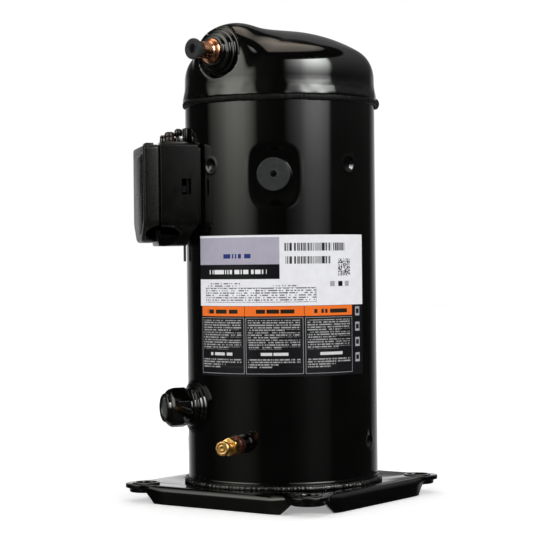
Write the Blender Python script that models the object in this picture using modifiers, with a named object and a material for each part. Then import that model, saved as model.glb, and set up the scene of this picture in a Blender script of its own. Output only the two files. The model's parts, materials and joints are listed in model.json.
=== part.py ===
"""Hermetic scroll compressor: shell, base, fittings, terminal box, motor and scroll set as separate parts.

Metres, +Z up. The origin is the middle of the bottom cap's flat underside, level with the underside of
the base plate's flanges. Run it with blender --background --python part.py, or from the text editor.
"""

import math

import bmesh
import bpy
from mathutils import Matrix, Vector

MM = 0.001
GAP = 0.3 * MM                # clearance left between neighbouring pieces
ROUND = 48                    # steps around a piece as wide as the shell
MIDDLE = 32                   # steps around a piece inside it
SMALL = 20                    # steps around a fitting, a bore or a bush
FINE = 12                     # steps around a pin or screw

# Shell
SHELL_R = 92.5 * MM
SHELL_WALL = 3.5 * MM
SHELL_BOTTOM = 22.0 * MM
SHELL_TOP = 381.7 * MM
BORE_R = SHELL_R - SHELL_WALL
RIM_R = 94.8 * MM             # welded rim between shell and top cap
RIM_TOP = 385.3 * MM
CAP_WALL = 3.2 * MM
CROWN_R = 165.0 * MM
CAP_TOP = 456.0 * MM
PART_R = BORE_R - GAP         # parts that fill the shell's bore

# Base plate
HOLE_PITCH = 190.5 * MM
HOLE_R = 9.5 * MM
LOBE_R = 20.0 * MM
COLLAR_R = 16.0 * MM          # pressed collar under each foot hole
COLLAR_DROP = 4.8 * MM
PLATE_HALF = 112.0 * MM
PLATE_TOP = 17.0 * MM
PLATE_THICK = 3.5 * MM

# Directions of the fittings around the shell, in degrees from +X, and their heights
DISCHARGE_ANGLE = -94.5
DISCHARGE_Z = 427.0 * MM
BOSS_R = 31.0 * MM
FACET = 79.0 * MM
LEDGE_Z = 403.0 * MM
SUCTION_ANGLE = -58.5
SUCTION_Z = 310.6 * MM
PROCESS_ANGLE = -77.0
PROCESS_Z = 60.8 * MM
GLASS_ANGLE = -121.5
GLASS_Z = 90.5 * MM
BOX_ANGLE = -132.5
TERMINAL_Z = 303.0 * MM
LABEL_ANGLE = -53.0
STAKE_ANGLES = (-100.0, -10.0, 80.0, 170.0)
ARM_ANGLES = (9.0, 113.0, 217.0)

# Terminal box
BOX_HALF = 40.0 * MM
BOX_LOW = 246.0 * MM
BOX_HIGH = 341.6 * MM
BOX_CHAMFER = 20.0 * MM
BOX_SPLIT = 124.0 * MM        # distance of the cover's joint from the shell's axis
BOX_FRONT = 140.6 * MM
BOX_WALL = 2.5 * MM
CABLE_R = 13.0 * MM
CABLE_AT = 121.0 * MM         # distance of the cable hole from the shell's axis

# Scroll set: pitch = 2 * (wall + orbit)
ORBIT = 4.5 * MM
PITCH = 17.0 * MM
WRAP_WALL = PITCH / 2 - ORBIT
FLANK_CLEARANCE = 0.45 * MM
INVOLUTE_R = PITCH / (2 * math.pi)
WRAP_HEIGHT = 28.0 * MM
SCROLL_PLATE_LOW = 328.3 * MM
SCROLL_PLATE_TOP = 336.3 * MM
SCROLL_PLATE_R = 62.0 * MM
FIXED_PLATE_LOW = SCROLL_PLATE_TOP + WRAP_HEIGHT + GAP
SCROLL_BOLT_R = 75.0 * MM
OLDHAM_R = 53.5 * MM
KEY_WIDE = 9.0 * MM
KEY_LONG = 12.0 * MM
HOUSING_TOP = 328.0 * MM
RECESS_Z = 322.0 * MM

# Shaft and motor
JOURNAL_R = 15.0 * MM
LOW_JOURNAL_R = 11.0 * MM
PIN_R = 9.0 * MM
ROTOR_R = 47.3 * MM
STATOR_BORE = 48.0 * MM
STACK_LOW = 110.0 * MM
STACK_HIGH = 205.0 * MM


def clear_scene():
    for item in list(bpy.data.objects):
        bpy.data.objects.remove(item, do_unlink=True)


clear_scene()
PARTS = bpy.data.collections.new("scroll_compressor")
CUTTERS = bpy.data.collections.new("cutters")
bpy.context.scene.collection.children.link(PARTS)
bpy.context.scene.collection.children.link(CUTTERS)


# ---------------------------------------------------------------- helpers

def material(name, colour, roughness, metallic=0.0):
    made = bpy.data.materials.new(name)
    made.use_nodes = True
    shader = made.node_tree.nodes["Principled BSDF"]
    shader.inputs["Base Color"].default_value = (*colour, 1.0)
    shader.inputs["Roughness"].default_value = roughness
    shader.inputs["Metallic"].default_value = metallic
    return made


def place(obj, skin=None, parent=None):
    """Link an object as a part, or as a hidden cutter when it has no material."""
    if skin is None:
        CUTTERS.objects.link(obj)
        obj.hide_render = True
        obj.display_type = "WIRE"
    else:
        PARTS.objects.link(obj)
        obj.data.materials.append(skin)
    if parent is not None:
        obj.parent = parent
    return obj


def outward(angle):
    """Rotation that turns local Z to the horizontal direction at this angle."""
    return (0.0, math.radians(90.0), math.radians(angle))


def radial(angle, distance, z=0.0):
    turn = math.radians(angle)
    return Vector((distance * math.cos(turn), distance * math.sin(turn), z))


def turned(name, profile, skin=None, steps=MIDDLE, at=(0, 0, 0), turn=(0, 0, 0), parent=None):
    """Revolve a profile of (radius, height) points. A profile that starts and ends on the axis stays open."""
    mesh = bpy.data.meshes.new(name)
    points = [(radius, 0.0, height) for radius, height in profile]
    edges = [(i, i + 1) for i in range(len(points) - 1)]
    if profile[0][0] > 0:
        edges.append((len(points) - 1, 0))
    mesh.from_pydata(points, edges, [])
    obj = bpy.data.objects.new(name, mesh)
    screw = obj.modifiers.new("turn", "SCREW")
    screw.steps = steps
    screw.render_steps = steps
    screw.use_merge_vertices = True
    screw.merge_threshold = 0.00001
    screw.use_smooth_shade = True
    obj.location = at
    obj.rotation_euler = turn
    return place(obj, skin, parent)


def ring(name, inner, outer, low, high, skin=None, **more):
    profile = [(outer, high), (outer, low), (inner, low), (inner, high)]
    return turned(name, profile, skin, **more)


def rod(name, radius, low, high, skin=None, **more):
    profile = [(0, high), (radius, high), (radius, low), (0, low)]
    return turned(name, profile, skin, **more)


def block(name, size, at, skin=None, turn=(0, 0, 0), parent=None):
    mesh = bpy.data.meshes.new(name)
    solid = bmesh.new()
    bmesh.ops.create_cube(solid, size=1.0)
    bmesh.ops.scale(solid, vec=Vector(size), verts=solid.verts)
    solid.to_mesh(mesh)
    solid.free()
    obj = bpy.data.objects.new(name, mesh)
    obj.location = at
    obj.rotation_euler = turn
    return place(obj, skin, parent)


def outline(name, loops, low, high, skin=None, turn=(0, 0, 0), at=(0, 0, 0), parent=None):
    """Fill closed outlines in the local XY plane and give them thickness from low to high."""
    curve = bpy.data.curves.new(name, "CURVE")
    curve.dimensions = "2D"
    curve.fill_mode = "BOTH"
    curve.extrude = (high - low) / 2
    for loop in loops:
        spline = curve.splines.new("POLY")
        spline.points.add(len(loop) - 1)
        for point, (x, y) in zip(spline.points, loop):
            point.co = (x, y, 0.0, 1.0)
        spline.use_cyclic_u = True
    drawn = bpy.data.objects.new(name, curve)
    mesh = bpy.data.meshes.new_from_object(drawn)
    bpy.data.objects.remove(drawn, do_unlink=True)
    solid = bmesh.new()
    solid.from_mesh(mesh)
    bmesh.ops.remove_doubles(solid, verts=solid.verts, dist=0.000005)
    bmesh.ops.translate(solid, vec=(0, 0, (low + high) / 2), verts=solid.verts)
    bmesh.ops.recalc_face_normals(solid, faces=solid.faces)
    solid.to_mesh(mesh)
    solid.free()
    mesh.materials.clear()
    obj = bpy.data.objects.new(name, mesh)
    obj.location = at
    obj.rotation_euler = turn
    return place(obj, skin, parent)


def sector(name, inner, outer, low, high, centre, half_angle, skin, steps, parent=None):
    """A closed piece of a ring, half_angle degrees to each side of its centre direction."""
    mesh = bpy.data.meshes.new(name)
    solid = bmesh.new()
    corners = [(inner, low), (outer, low), (outer, high), (inner, high)]
    face = solid.faces.new([solid.verts.new(radial(centre - half_angle, r, z)) for r, z in corners])
    bmesh.ops.spin(
        solid, geom=[face, *face.edges, *face.verts], cent=(0, 0, 0), axis=(0, 0, 1),
        angle=math.radians(2 * half_angle), steps=steps, use_duplicate=False)
    bmesh.ops.recalc_face_normals(solid, faces=solid.faces)
    solid.to_mesh(mesh)
    solid.free()
    return place(bpy.data.objects.new(name, mesh), skin, parent)


def combine(obj, other, operation):
    step = obj.modifiers.new(other.name, "BOOLEAN")
    step.operation = operation
    step.solver = "EXACT"
    step.object = other
    return obj


def cut(obj, other):
    return combine(obj, other, "DIFFERENCE")


def add(obj, other):
    return combine(obj, other, "UNION")


def empty(name, at):
    obj = bpy.data.objects.new(name, None)
    obj.location = at
    PARTS.objects.link(obj)
    return obj


def circle(radius, count, x=0.0, y=0.0):
    turns = [2 * math.pi * i / count for i in range(count)]
    return [(x + radius * math.cos(t), y + radius * math.sin(t)) for t in turns]


# ---------------------------------------------------------------- materials

BLACK = material("black_paint", (0.012, 0.012, 0.011), 0.28)
COPPER = material("copper", (0.72, 0.32, 0.17), 0.3, 1.0)
BRASS = material("brass", (0.72, 0.52, 0.24), 0.32, 1.0)
RUBBER = material("black_rubber", (0.035, 0.036, 0.036), 0.75)
PLASTIC = material("black_plastic", (0.02, 0.02, 0.02), 0.5)
STEEL = material("machined_steel", (0.55, 0.55, 0.56), 0.35, 1.0)
IRON = material("cast_iron", (0.32, 0.32, 0.33), 0.6, 0.8)
LAMINATION = material("lamination_steel", (0.38, 0.38, 0.4), 0.45, 0.9)
ALUMINIUM = material("cast_aluminium", (0.72, 0.73, 0.74), 0.42, 1.0)
ENAMEL = material("enamelled_winding", (0.55, 0.22, 0.08), 0.4, 0.3)
BRONZE = material("bronze_bush", (0.6, 0.42, 0.2), 0.35, 1.0)
GLASS = material("sight_glass", (0.03, 0.04, 0.035), 0.08)
LABEL = material("label_film", (0.85, 0.85, 0.84), 0.45)
POLYMER = material("seal_polymer", (0.12, 0.11, 0.1), 0.6)
LEAD = material("lead_sleeve", (0.8, 0.78, 0.7), 0.6)


# ---------------------------------------------------------------- shell and caps

def center_shell():
    bead = 1.0 * MM
    top = SHELL_TOP
    shell = turned("center_shell", [
        (SHELL_R, top), (SHELL_R + bead, top - 1.2 * MM), (SHELL_R + bead, top - 2.4 * MM),
        (SHELL_R, top - 3.6 * MM), (SHELL_R, SHELL_BOTTOM), (BORE_R, SHELL_BOTTOM), (BORE_R, top)],
        BLACK, steps=ROUND)
    bores = [
        ("suction_bore", SUCTION_ANGLE, SUCTION_Z, 14.0 * MM),
        ("process_bore", PROCESS_ANGLE, PROCESS_Z, 9.0 * MM),
        ("glass_bore", GLASS_ANGLE, GLASS_Z, 14.0 * MM),
        ("terminal_bore", BOX_ANGLE, TERMINAL_Z, 20.0 * MM),
    ]
    for name, angle, z, radius in bores:
        cutter = rod(name, radius + GAP, 70 * MM, 110 * MM, steps=SMALL, at=(0, 0, z), turn=outward(angle))
        cut(shell, cutter)
    return shell


def smooth_max(a, b, blend):
    near = max(blend - abs(a - b), 0.0) / blend
    return max(a, b) + near * near * blend / 4


def cap_depth(point):
    """Signed depth under the top cap's outer surface: a domed can with a boss and a flat for the discharge."""
    facing = radial(DISCHARGE_ANGLE, 1.0)
    along = point.x * facing.x + point.y * facing.y
    side = point.x * facing.y - point.y * facing.x
    wall = math.hypot(point.x, point.y) - SHELL_R
    crown = (point - Vector((0, 0, CAP_TOP - CROWN_R))).length - CROWN_R
    dome = smooth_max(wall, crown, 16 * MM)
    off_axis = math.hypot(side, point.z - DISCHARGE_Z)
    off_axis = math.hypot(off_axis, min(along, 0.0))
    boss = smooth_max(off_axis - BOSS_R, wall, 10 * MM)
    joined = -smooth_max(-dome, -boss, 14 * MM)
    pocket = smooth_max(FACET - along, LEDGE_Z - point.z, 8 * MM)
    return smooth_max(joined, -pocket, 5 * MM)


def cap_surface(direction, depth):
    """Walk out from the middle of the cap's rim to where the cap is this deep."""
    centre = Vector((0, 0, RIM_TOP))
    near = 0.0
    far = 2 * SHELL_R
    for _ in range(30):
        middle = (near + far) / 2
        if cap_depth(centre + direction * middle) < -depth:
            near = middle
        else:
            far = middle
    return centre + direction * near


def cap_solid(name, depth, rim_radius, rim_z, steps, skin=None):
    """Half a sphere pushed onto the cap's surface, or that far below it, and closed across its rim."""
    solid = bmesh.new()
    bmesh.ops.create_uvsphere(solid, u_segments=steps, v_segments=steps // 2, radius=1.0)
    below = [v for v in solid.verts if v.co.z < -0.001]
    bmesh.ops.delete(solid, geom=below, context="VERTS")
    for vertex in solid.verts:
        direction = vertex.co.normalized()
        if abs(direction.z) < 0.001:
            vertex.co = direction * rim_radius + Vector((0, 0, rim_z))
        else:
            vertex.co = cap_surface(direction, depth)
    bmesh.ops.holes_fill(solid, edges=solid.edges, sides=0)
    bmesh.ops.recalc_face_normals(solid, faces=solid.faces)
    for face in solid.faces:
        face.smooth = len(face.verts) < 5
    mesh = bpy.data.meshes.new(name)
    solid.to_mesh(mesh)
    solid.free()
    return place(bpy.data.objects.new(name, mesh), skin)


def top_cap():
    cap = cap_solid("top_cap", 0.0, RIM_R, RIM_TOP, ROUND, BLACK)
    cut(cap, cap_solid("cap_room", CAP_WALL, SHELL_R - CAP_WALL, RIM_TOP - 5 * MM, MIDDLE))
    at = (0, 0, DISCHARGE_Z)
    turn = outward(DISCHARGE_ANGLE)
    cut(cap, rod("discharge_spot_face", 24 * MM, FACET, FACET + 20 * MM, steps=MIDDLE, at=at, turn=turn))
    return cut(cap, rod("discharge_bore", 11 * MM + GAP, 60 * MM, 95 * MM, steps=SMALL, at=at, turn=turn))


def bottom_cap():
    seat = SHELL_BOTTOM - GAP
    rim = 96.0 * MM
    turned("bottom_cap", [
        (0, 3.5 * MM), (61 * MM, 3.5 * MM), (78 * MM, 6.5 * MM), (84.5 * MM, 12.5 * MM), (86.5 * MM, seat),
        (SHELL_R + GAP, seat), (SHELL_R + GAP, 26 * MM), (rim - 0.5 * MM, 26 * MM), (rim, 25 * MM),
        (rim, 18.3 * MM), (rim - 0.5 * MM, PLATE_TOP + GAP), (89.5 * MM, PLATE_TOP + GAP), (88 * MM, 10 * MM),
        (80 * MM, 3 * MM), (62 * MM, 0), (0, 0)], BLACK, steps=ROUND)


def base_outline():
    """Square with a round lobe at each corner; half_side is where a straight side ends."""
    half_side = 80 * MM
    middle = HOLE_PITCH / 2
    points = []
    for quarter in range(4):
        turn = quarter * math.pi / 2
        corner = [(PLATE_HALF, half_side)]
        for step in range(9):
            angle = math.radians(-35 + 20 * step)
            corner.append((middle + LOBE_R * math.cos(angle), middle + LOBE_R * math.sin(angle)))
        corner.append((half_side, PLATE_HALF))
        for x, y in corner:
            points.append((x * math.cos(turn) - y * math.sin(turn), x * math.sin(turn) + y * math.cos(turn)))
    return points


def base_plate():
    middle = HOLE_PITCH / 2
    loops = [base_outline(), circle(90 * MM, ROUND)]
    corners = [(x, y) for x in (-middle, middle) for y in (-middle, middle)]
    for x, y in corners:
        loops.append(circle(HOLE_R, SMALL, x, y))
    under = PLATE_TOP - PLATE_THICK
    plate = outline("base_plate", loops, under, PLATE_TOP, BLACK)
    for number, (x, y) in enumerate(corners):
        collar = ring("foot_collar_%d" % number, HOLE_R + 0.5 * MM, COLLAR_R, under - COLLAR_DROP, under + 1 * MM,
                      steps=SMALL, at=(x, y, 0))
        add(plate, collar)
    top = PLATE_TOP - 1 * MM
    for side in range(4):
        shape = [(-74 * MM, 0), (74 * MM, 0), (87 * MM, 11 * MM), (87 * MM, top), (-87 * MM, top),
                 (-87 * MM, 11 * MM)]
        angle = side * 90.0
        flange = outline("base_flange_%d" % side, [shape], -PLATE_THICK, 0,
                         turn=(math.radians(90), 0, math.radians(angle + 90)), at=radial(angle, PLATE_HALF))
        add(plate, flange)
    return plate


def separator_plate():
    rim_low = SHELL_TOP + GAP
    rim_high = RIM_TOP - GAP
    rise = 3 * MM
    plate = turned("separator_plate", [
        (94 * MM, rim_high), (94 * MM, rim_low), (86 * MM, rim_low), (80 * MM, rim_low + rise),
        (12 * MM, rim_low + rise), (12 * MM, rim_high + rise), (79 * MM, rim_high + rise),
        (85 * MM, rim_high)], STEEL, steps=ROUND)
    spot = radial(60.0, 52 * MM)
    cut(plate, rod("relief_bore", 6 * MM + GAP, 370 * MM, 400 * MM, steps=SMALL, at=spot))
    top = rim_high + rise + GAP
    turned("relief_valve", [
        (0, top + 8 * MM), (5 * MM, top + 8 * MM), (6 * MM, top + 7 * MM), (6 * MM, top + 3 * MM),
        (9 * MM, top + 3 * MM), (9 * MM, top), (6 * MM, top), (6 * MM, top - 5 * MM), (0, top - 5 * MM)],
        BRASS, steps=SMALL, at=spot)
    rod("discharge_valve_disc", 16 * MM, 0, 1.2 * MM, STEEL, steps=SMALL, at=(0, 0, top))
    turned("valve_retainer", [
        (24 * MM, top + 7.5 * MM), (24 * MM, top), (17 * MM, top), (17 * MM, top + 5 * MM),
        (6 * MM, top + 5 * MM), (6 * MM, top + 7.5 * MM)], STEEL, steps=SMALL)


# ---------------------------------------------------------------- fittings

def discharge_line():
    at = (0, 0, DISCHARGE_Z)
    turn = outward(DISCHARGE_ANGLE)
    foot = FACET + GAP
    bore = 9.6 * MM
    turned("discharge_fitting", [
        (14 * MM, foot + 20 * MM), (15 * MM, foot + 19 * MM), (15 * MM, foot + 14 * MM),
        (18 * MM, foot + 13 * MM), (18 * MM, foot + 9 * MM), (22.5 * MM, foot + 7 * MM), (22.5 * MM, foot),
        (11 * MM, foot), (11 * MM, foot - 8 * MM), (bore, foot - 8 * MM), (bore, foot + 20 * MM)],
        BLACK, steps=SMALL, at=at, turn=turn)
    lip = foot + 20 * MM + GAP
    end = lip + 15 * MM
    turned("discharge_tube", [
        (8.2 * MM, end), (8.2 * MM, lip + 4.5 * MM), (10.5 * MM, lip + 3 * MM), (11.2 * MM, lip + 1.5 * MM),
        (10.5 * MM, lip), (9.2 * MM, lip), (9.2 * MM, foot - 4 * MM), (7.2 * MM, foot - 4 * MM),
        (7.2 * MM, end)],
        COPPER, steps=SMALL, at=at, turn=turn)
    face = end + GAP
    turned("discharge_plug", [
        (0, face + 1 * MM), (4 * MM, face + 1 * MM), (4 * MM, face + 6.5 * MM), (9.5 * MM, face + 6.5 * MM),
        (10.6 * MM, face + 5.5 * MM), (10.6 * MM, face), (6.8 * MM, face), (6.6 * MM, face - 14 * MM),
        (0, face - 14 * MM)], RUBBER, steps=SMALL, at=at, turn=turn)


def suction_line():
    at = (0, 0, SUCTION_Z)
    turn = outward(SUCTION_ANGLE)
    front = 103 * MM
    fitting = turned("suction_fitting", [
        (14 * MM, front), (14.5 * MM, front - 1 * MM), (14.5 * MM, 98 * MM), (21 * MM, 96.5 * MM),
        (23 * MM, 95 * MM), (23 * MM, 86 * MM), (14 * MM, 86 * MM), (14 * MM, 82 * MM),
        (12 * MM, 82 * MM), (12 * MM, front)], BLACK, steps=SMALL, at=at, turn=turn)
    reach = 40 * MM
    band = ring("suction_saddle", BORE_R - 3 * MM, SHELL_R + GAP, SUCTION_Z - reach, SUCTION_Z + reach,
                steps=ROUND)
    keep = rod("suction_keep", 14 * MM, 75 * MM, 100 * MM, steps=SMALL, at=at, turn=turn)
    cut(band, keep)
    cut(fitting, band)
    face = front + GAP
    turned("suction_plug", [
        (0, face + 2.5 * MM), (2.2 * MM, face + 2.5 * MM), (2.2 * MM, face + 4 * MM),
        (14.8 * MM, face + 4 * MM), (15.5 * MM, face + 3.2 * MM), (15.5 * MM, face),
        (11.6 * MM, face), (11.2 * MM, face - 15 * MM), (0, face - 15 * MM)],
        RUBBER, steps=SMALL, at=at, turn=turn)


def sight_glass():
    at = (0, 0, GLASS_Z)
    turn = outward(GLASS_ANGLE)
    collar = turned("sight_glass_collar", [
        (19 * MM, 98 * MM), (22 * MM, 97 * MM), (23.7 * MM, 95 * MM), (23.7 * MM, 86 * MM),
        (14 * MM, 86 * MM), (12 * MM, 86 * MM), (12 * MM, 98 * MM)], BLACK, steps=SMALL, at=at, turn=turn)
    cut(collar, rod("glass_saddle", SHELL_R + GAP, 50 * MM, 130 * MM, steps=ROUND))
    nut = outline("sight_glass_nut", [circle(35 * MM / math.sqrt(3), 6)], 98 * MM + GAP, 117 * MM, BLACK,
                  at=at, turn=turn)
    add(nut, rod("glass_stem", 11.6 * MM, 84 * MM, 100 * MM, steps=SMALL, at=at, turn=turn))
    add(nut, rod("glass_nose", 15.6 * MM, 115 * MM, 121 * MM, steps=SMALL, at=at, turn=turn))
    cut(nut, rod("glass_window", 13.9 * MM, 110 * MM, 125 * MM, steps=SMALL, at=at, turn=turn))
    cut(nut, rod("glass_through", 8 * MM, 80 * MM, 112 * MM, steps=SMALL, at=at, turn=turn))
    ring("sight_glass_seal", 9 * MM, 13.5 * MM, 110.3 * MM, 112.7 * MM, POLYMER, steps=SMALL, at=at, turn=turn)
    turned("sight_glass_lens", [
        (0, 119.2 * MM), (11 * MM, 119.2 * MM), (13.5 * MM, 117.8 * MM), (13.5 * MM, 113 * MM), (0, 113 * MM)],
        GLASS, steps=SMALL, at=at, turn=turn)


def process_valve():
    at = (0, 0, PROCESS_Z)
    turn = outward(PROCESS_ANGLE)
    ring("process_tube", 5 * MM, 9 * MM, 86 * MM, 107 * MM, COPPER, steps=SMALL, at=at, turn=turn)
    body = outline("valve_body", [circle(8.8 * MM, 6)], 107 * MM + GAP, 121 * MM, BRASS, at=at, turn=turn)
    add(body, rod("valve_stem", 4.6 * MM, 95 * MM, 109 * MM, steps=SMALL, at=at, turn=turn))
    add(body, rod("valve_thread", 4.4 * MM, 119 * MM, 133 * MM, steps=SMALL, at=at, turn=turn))
    cut(body, rod("valve_passage", 2.4 * MM, 90 * MM, 140 * MM, steps=SMALL, at=at, turn=turn))
    turned("valve_core", [
        (0, 132 * MM), (1.2 * MM, 132 * MM), (1.2 * MM, 118 * MM), (2 * MM, 117 * MM), (2 * MM, 112 * MM),
        (0, 112 * MM)], BRASS, steps=FINE, at=at, turn=turn)
    turned("valve_cap", [
        (0, 143 * MM), (4.8 * MM, 143 * MM), (6 * MM, 141.8 * MM), (6 * MM, 123 * MM), (6.8 * MM, 122.5 * MM),
        (6.8 * MM, 121.4 * MM), (4.8 * MM, 121.4 * MM), (4.8 * MM, 136 * MM), (0, 136 * MM)],
        BRASS, steps=SMALL, at=at, turn=turn)


# ---------------------------------------------------------------- terminal box

def box_shape(inset):
    """Terminal box outline seen along its depth: local X is down, local Y is sideways."""
    half = BOX_HALF - inset
    low = -(BOX_LOW + inset)
    slope = -(BOX_LOW + BOX_CHAMFER + inset * 0.4)
    high = -(BOX_HIGH - inset)
    flat = half - BOX_CHAMFER
    return [(low, -flat), (slope, -half), (high, -half), (high, half), (slope, half), (low, flat)]


def cable_hole(name):
    """Cutter square to the sloping edge of the box, half in the base and half in the cover."""
    middle = radial(BOX_ANGLE, CABLE_AT) + radial(BOX_ANGLE + 90, BOX_HALF - BOX_CHAMFER / 2)
    middle.z = BOX_LOW + BOX_CHAMFER / 2
    lean = Matrix.Rotation(math.radians(BOX_ANGLE + 90), 3, "Z") @ Matrix.Rotation(math.radians(135), 3, "Y")
    return rod(name, CABLE_R, -6 * MM, 6 * MM, steps=MIDDLE, at=middle, turn=lean.to_euler())


def terminal_box():
    turn = outward(BOX_ANGLE)
    base = outline("terminal_box_base", [box_shape(0)], 78 * MM, BOX_SPLIT, PLASTIC, turn=turn)
    cut(base, rod("box_saddle", SHELL_R + GAP, 230 * MM, 360 * MM, steps=ROUND))
    cut(base, outline("box_room", [box_shape(BOX_WALL)], 98 * MM, BOX_SPLIT + 5 * MM, turn=turn))
    cut(base, cable_hole("base_cable_hole"))
    window = block("snap_window", (9 * MM, 6 * MM, 15 * MM),
                   radial(BOX_ANGLE, 99 * MM, 300 * MM) + radial(BOX_ANGLE + 90, BOX_HALF),
                   turn=(0, 0, math.radians(BOX_ANGLE)))
    cut(base, window)
    middle = (0, 0, TERMINAL_Z)
    cut(base, rod("terminal_opening", 22 * MM, 85 * MM, 105 * MM, steps=SMALL, at=middle, turn=turn))
    cover = outline("terminal_box_cover", [box_shape(0)], BOX_SPLIT + GAP, BOX_FRONT, PLASTIC, turn=turn)
    inside = outline("cover_room", [box_shape(BOX_WALL)], BOX_SPLIT - 5 * MM, BOX_FRONT - BOX_WALL, turn=turn)
    cut(cover, inside)
    cut(cover, cable_hole("cover_cable_hole"))


def terminals():
    turn = outward(BOX_ANGLE)
    at = (0, 0, TERMINAL_Z)
    cup = turned("hermetic_terminal", [
        (0, 95 * MM), (19 * MM, 95 * MM), (20 * MM, 94 * MM), (20 * MM, 86 * MM), (18 * MM, 86 * MM),
        (18 * MM, 92 * MM), (0, 92 * MM)], STEEL, steps=SMALL, at=at, turn=turn)
    plug = block("terminal_block", (30 * MM, 30 * MM, 12 * MM), radial(BOX_ANGLE, 104 * MM, TERMINAL_Z),
                 PLASTIC, turn=turn)
    for number in range(3):
        swing = math.radians(90 + 120 * number)
        offset = radial(BOX_ANGLE + 90, 7 * MM * math.cos(swing), 7 * MM * math.sin(swing))
        spot = Vector((0, 0, TERMINAL_Z)) + offset
        rod("terminal_pin_%d" % (number + 1), 1.6 * MM, 80 * MM, 106 * MM, COPPER, steps=FINE,
            at=spot, turn=turn)
        hole = rod("pin_hole_%d" % number, 1.6 * MM + GAP, 70 * MM, 120 * MM, steps=FINE, at=spot, turn=turn)
        cut(cup, hole)
        cut(plug, hole)


def box_fixings():
    turn = outward(BOX_ANGLE)
    top = BOX_HIGH + GAP
    thick = 2.4 * MM
    clip = block("box_retaining_clip", (36 * MM, 22 * MM, thick),
                 radial(BOX_ANGLE, 112.5 * MM, top + thick / 2), BLACK, turn=(0, 0, math.radians(BOX_ANGLE)))
    lug = block("clip_lug", (3 * MM, 22 * MM, 15 * MM), radial(BOX_ANGLE, 96 * MM, top + 7.5 * MM),
                turn=(0, 0, math.radians(BOX_ANGLE)))
    add(clip, lug)
    turned("retaining_screw", [
        (0, 11 * MM), (4 * MM, 10.4 * MM), (7 * MM, 7 * MM), (7.4 * MM, 0), (0, 0)], BRASS, steps=FINE,
        at=radial(BOX_ANGLE, 111 * MM, top + thick + GAP))
    inside = radial(BOX_ANGLE, 98 * MM + GAP) + radial(BOX_ANGLE - 90, 27 * MM, 280 * MM)
    turned("ground_screw", [
        (0, 4 * MM), (3 * MM, 3.6 * MM), (4.4 * MM, 2.4 * MM), (4.4 * MM, 0), (0, 0)], BRASS, steps=FINE,
        at=inside, turn=turn)


# ---------------------------------------------------------------- scroll set

def involute(angle, offset):
    reach = angle + offset
    x = INVOLUTE_R * (math.cos(angle) + reach * math.sin(angle))
    y = INVOLUTE_R * (math.sin(angle) - reach * math.cos(angle))
    return x, y


def wrap_outline(first, last):
    """Closed outline of one scroll wrap: the outer flank out, the inner flank back."""
    half = (WRAP_WALL - FLANK_CLEARANCE) / (2 * INVOLUTE_R)
    step = math.radians(10)
    count = int((last - first) / step)
    angles = [first + step * i for i in range(count + 1)]
    outer = [involute(a, half) for a in angles]
    inner = [involute(a, -half) for a in reversed(angles)]
    return outer + inner


def orbiting_scroll(parent):
    z = SCROLL_PLATE_LOW
    scroll = turned("orbiting_scroll", [
        (0, SCROLL_PLATE_TOP), (SCROLL_PLATE_R, SCROLL_PLATE_TOP), (SCROLL_PLATE_R, z), (24 * MM, z),
        (24 * MM, 303 * MM), (17.5 * MM, 303 * MM), (17.5 * MM, z), (0, z)], ALUMINIUM, parent=parent)
    wrap = outline("orbiting_wrap", [wrap_outline(4.0, 20.4)], SCROLL_PLATE_TOP - 1 * MM, FIXED_PLATE_LOW - GAP,
                   turn=(0, 0, math.pi), parent=parent)
    add(scroll, wrap)
    sideways = KEY_WIDE + 2 * ORBIT + 4 * GAP
    for side in (-1, 1):
        spot = (side * (OLDHAM_R + 3 * MM), 0, z)
        slot = block("scroll_keyway_%d" % (side + 1), (30 * MM, sideways, 5 * MM), spot, parent=parent)
        cut(scroll, slot)
    ring("scroll_bearing", 14.3 * MM, 17.2 * MM, 304 * MM, 327 * MM, BRONZE, steps=SMALL, parent=parent)
    return scroll


def fixed_scroll():
    low = HOUSING_TOP + GAP
    plate = FIXED_PLATE_LOW
    groove = plate + 6.4 * MM
    top = plate + 18 * MM
    port = 6 * MM
    scroll = turned("fixed_scroll", [
        (82 * MM, plate + 7.4 * MM), (82 * MM, low), (68 * MM, low), (68 * MM, plate), (port, plate),
        (port, top),
        (21.5 * MM, top), (21.5 * MM, groove), (38.5 * MM, groove), (38.5 * MM, top), (44 * MM, top),
        (46 * MM, plate + 7.4 * MM)], IRON)
    wrap = outline("fixed_wrap", [wrap_outline(4.0, 23.5)], SCROLL_PLATE_TOP + GAP, plate + 1 * MM)
    add(scroll, wrap)
    intake = block("scroll_intake", (30 * MM, 40 * MM, 18 * MM), radial(SUCTION_ANGLE, 78 * MM, 350 * MM),
                   turn=(0, 0, math.radians(SUCTION_ANGLE)))
    cut(scroll, intake)
    for number in range(4):
        spot = radial(35 + 90 * number, SCROLL_BOLT_R)
        hole = rod("scroll_bolt_hole_%d" % number, 3 * MM + GAP, 316 * MM, 380 * MM, steps=FINE, at=spot)
        cut(scroll, hole)
        head = plate + 7.4 * MM + GAP
        turned("scroll_bolt_%d" % (number + 1), [
            (0, head + 6 * MM), (4.8 * MM, head + 6 * MM), (5.5 * MM, head + 5 * MM), (5.5 * MM, head),
            (3 * MM, head), (3 * MM, 318 * MM), (0, 318 * MM)], STEEL, steps=FINE, at=spot)
    ring("floating_seal", 22 * MM, 38 * MM, groove + 0.8 * MM + 1.5 * MM, SHELL_TOP + 2.7 * MM, STEEL)


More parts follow.
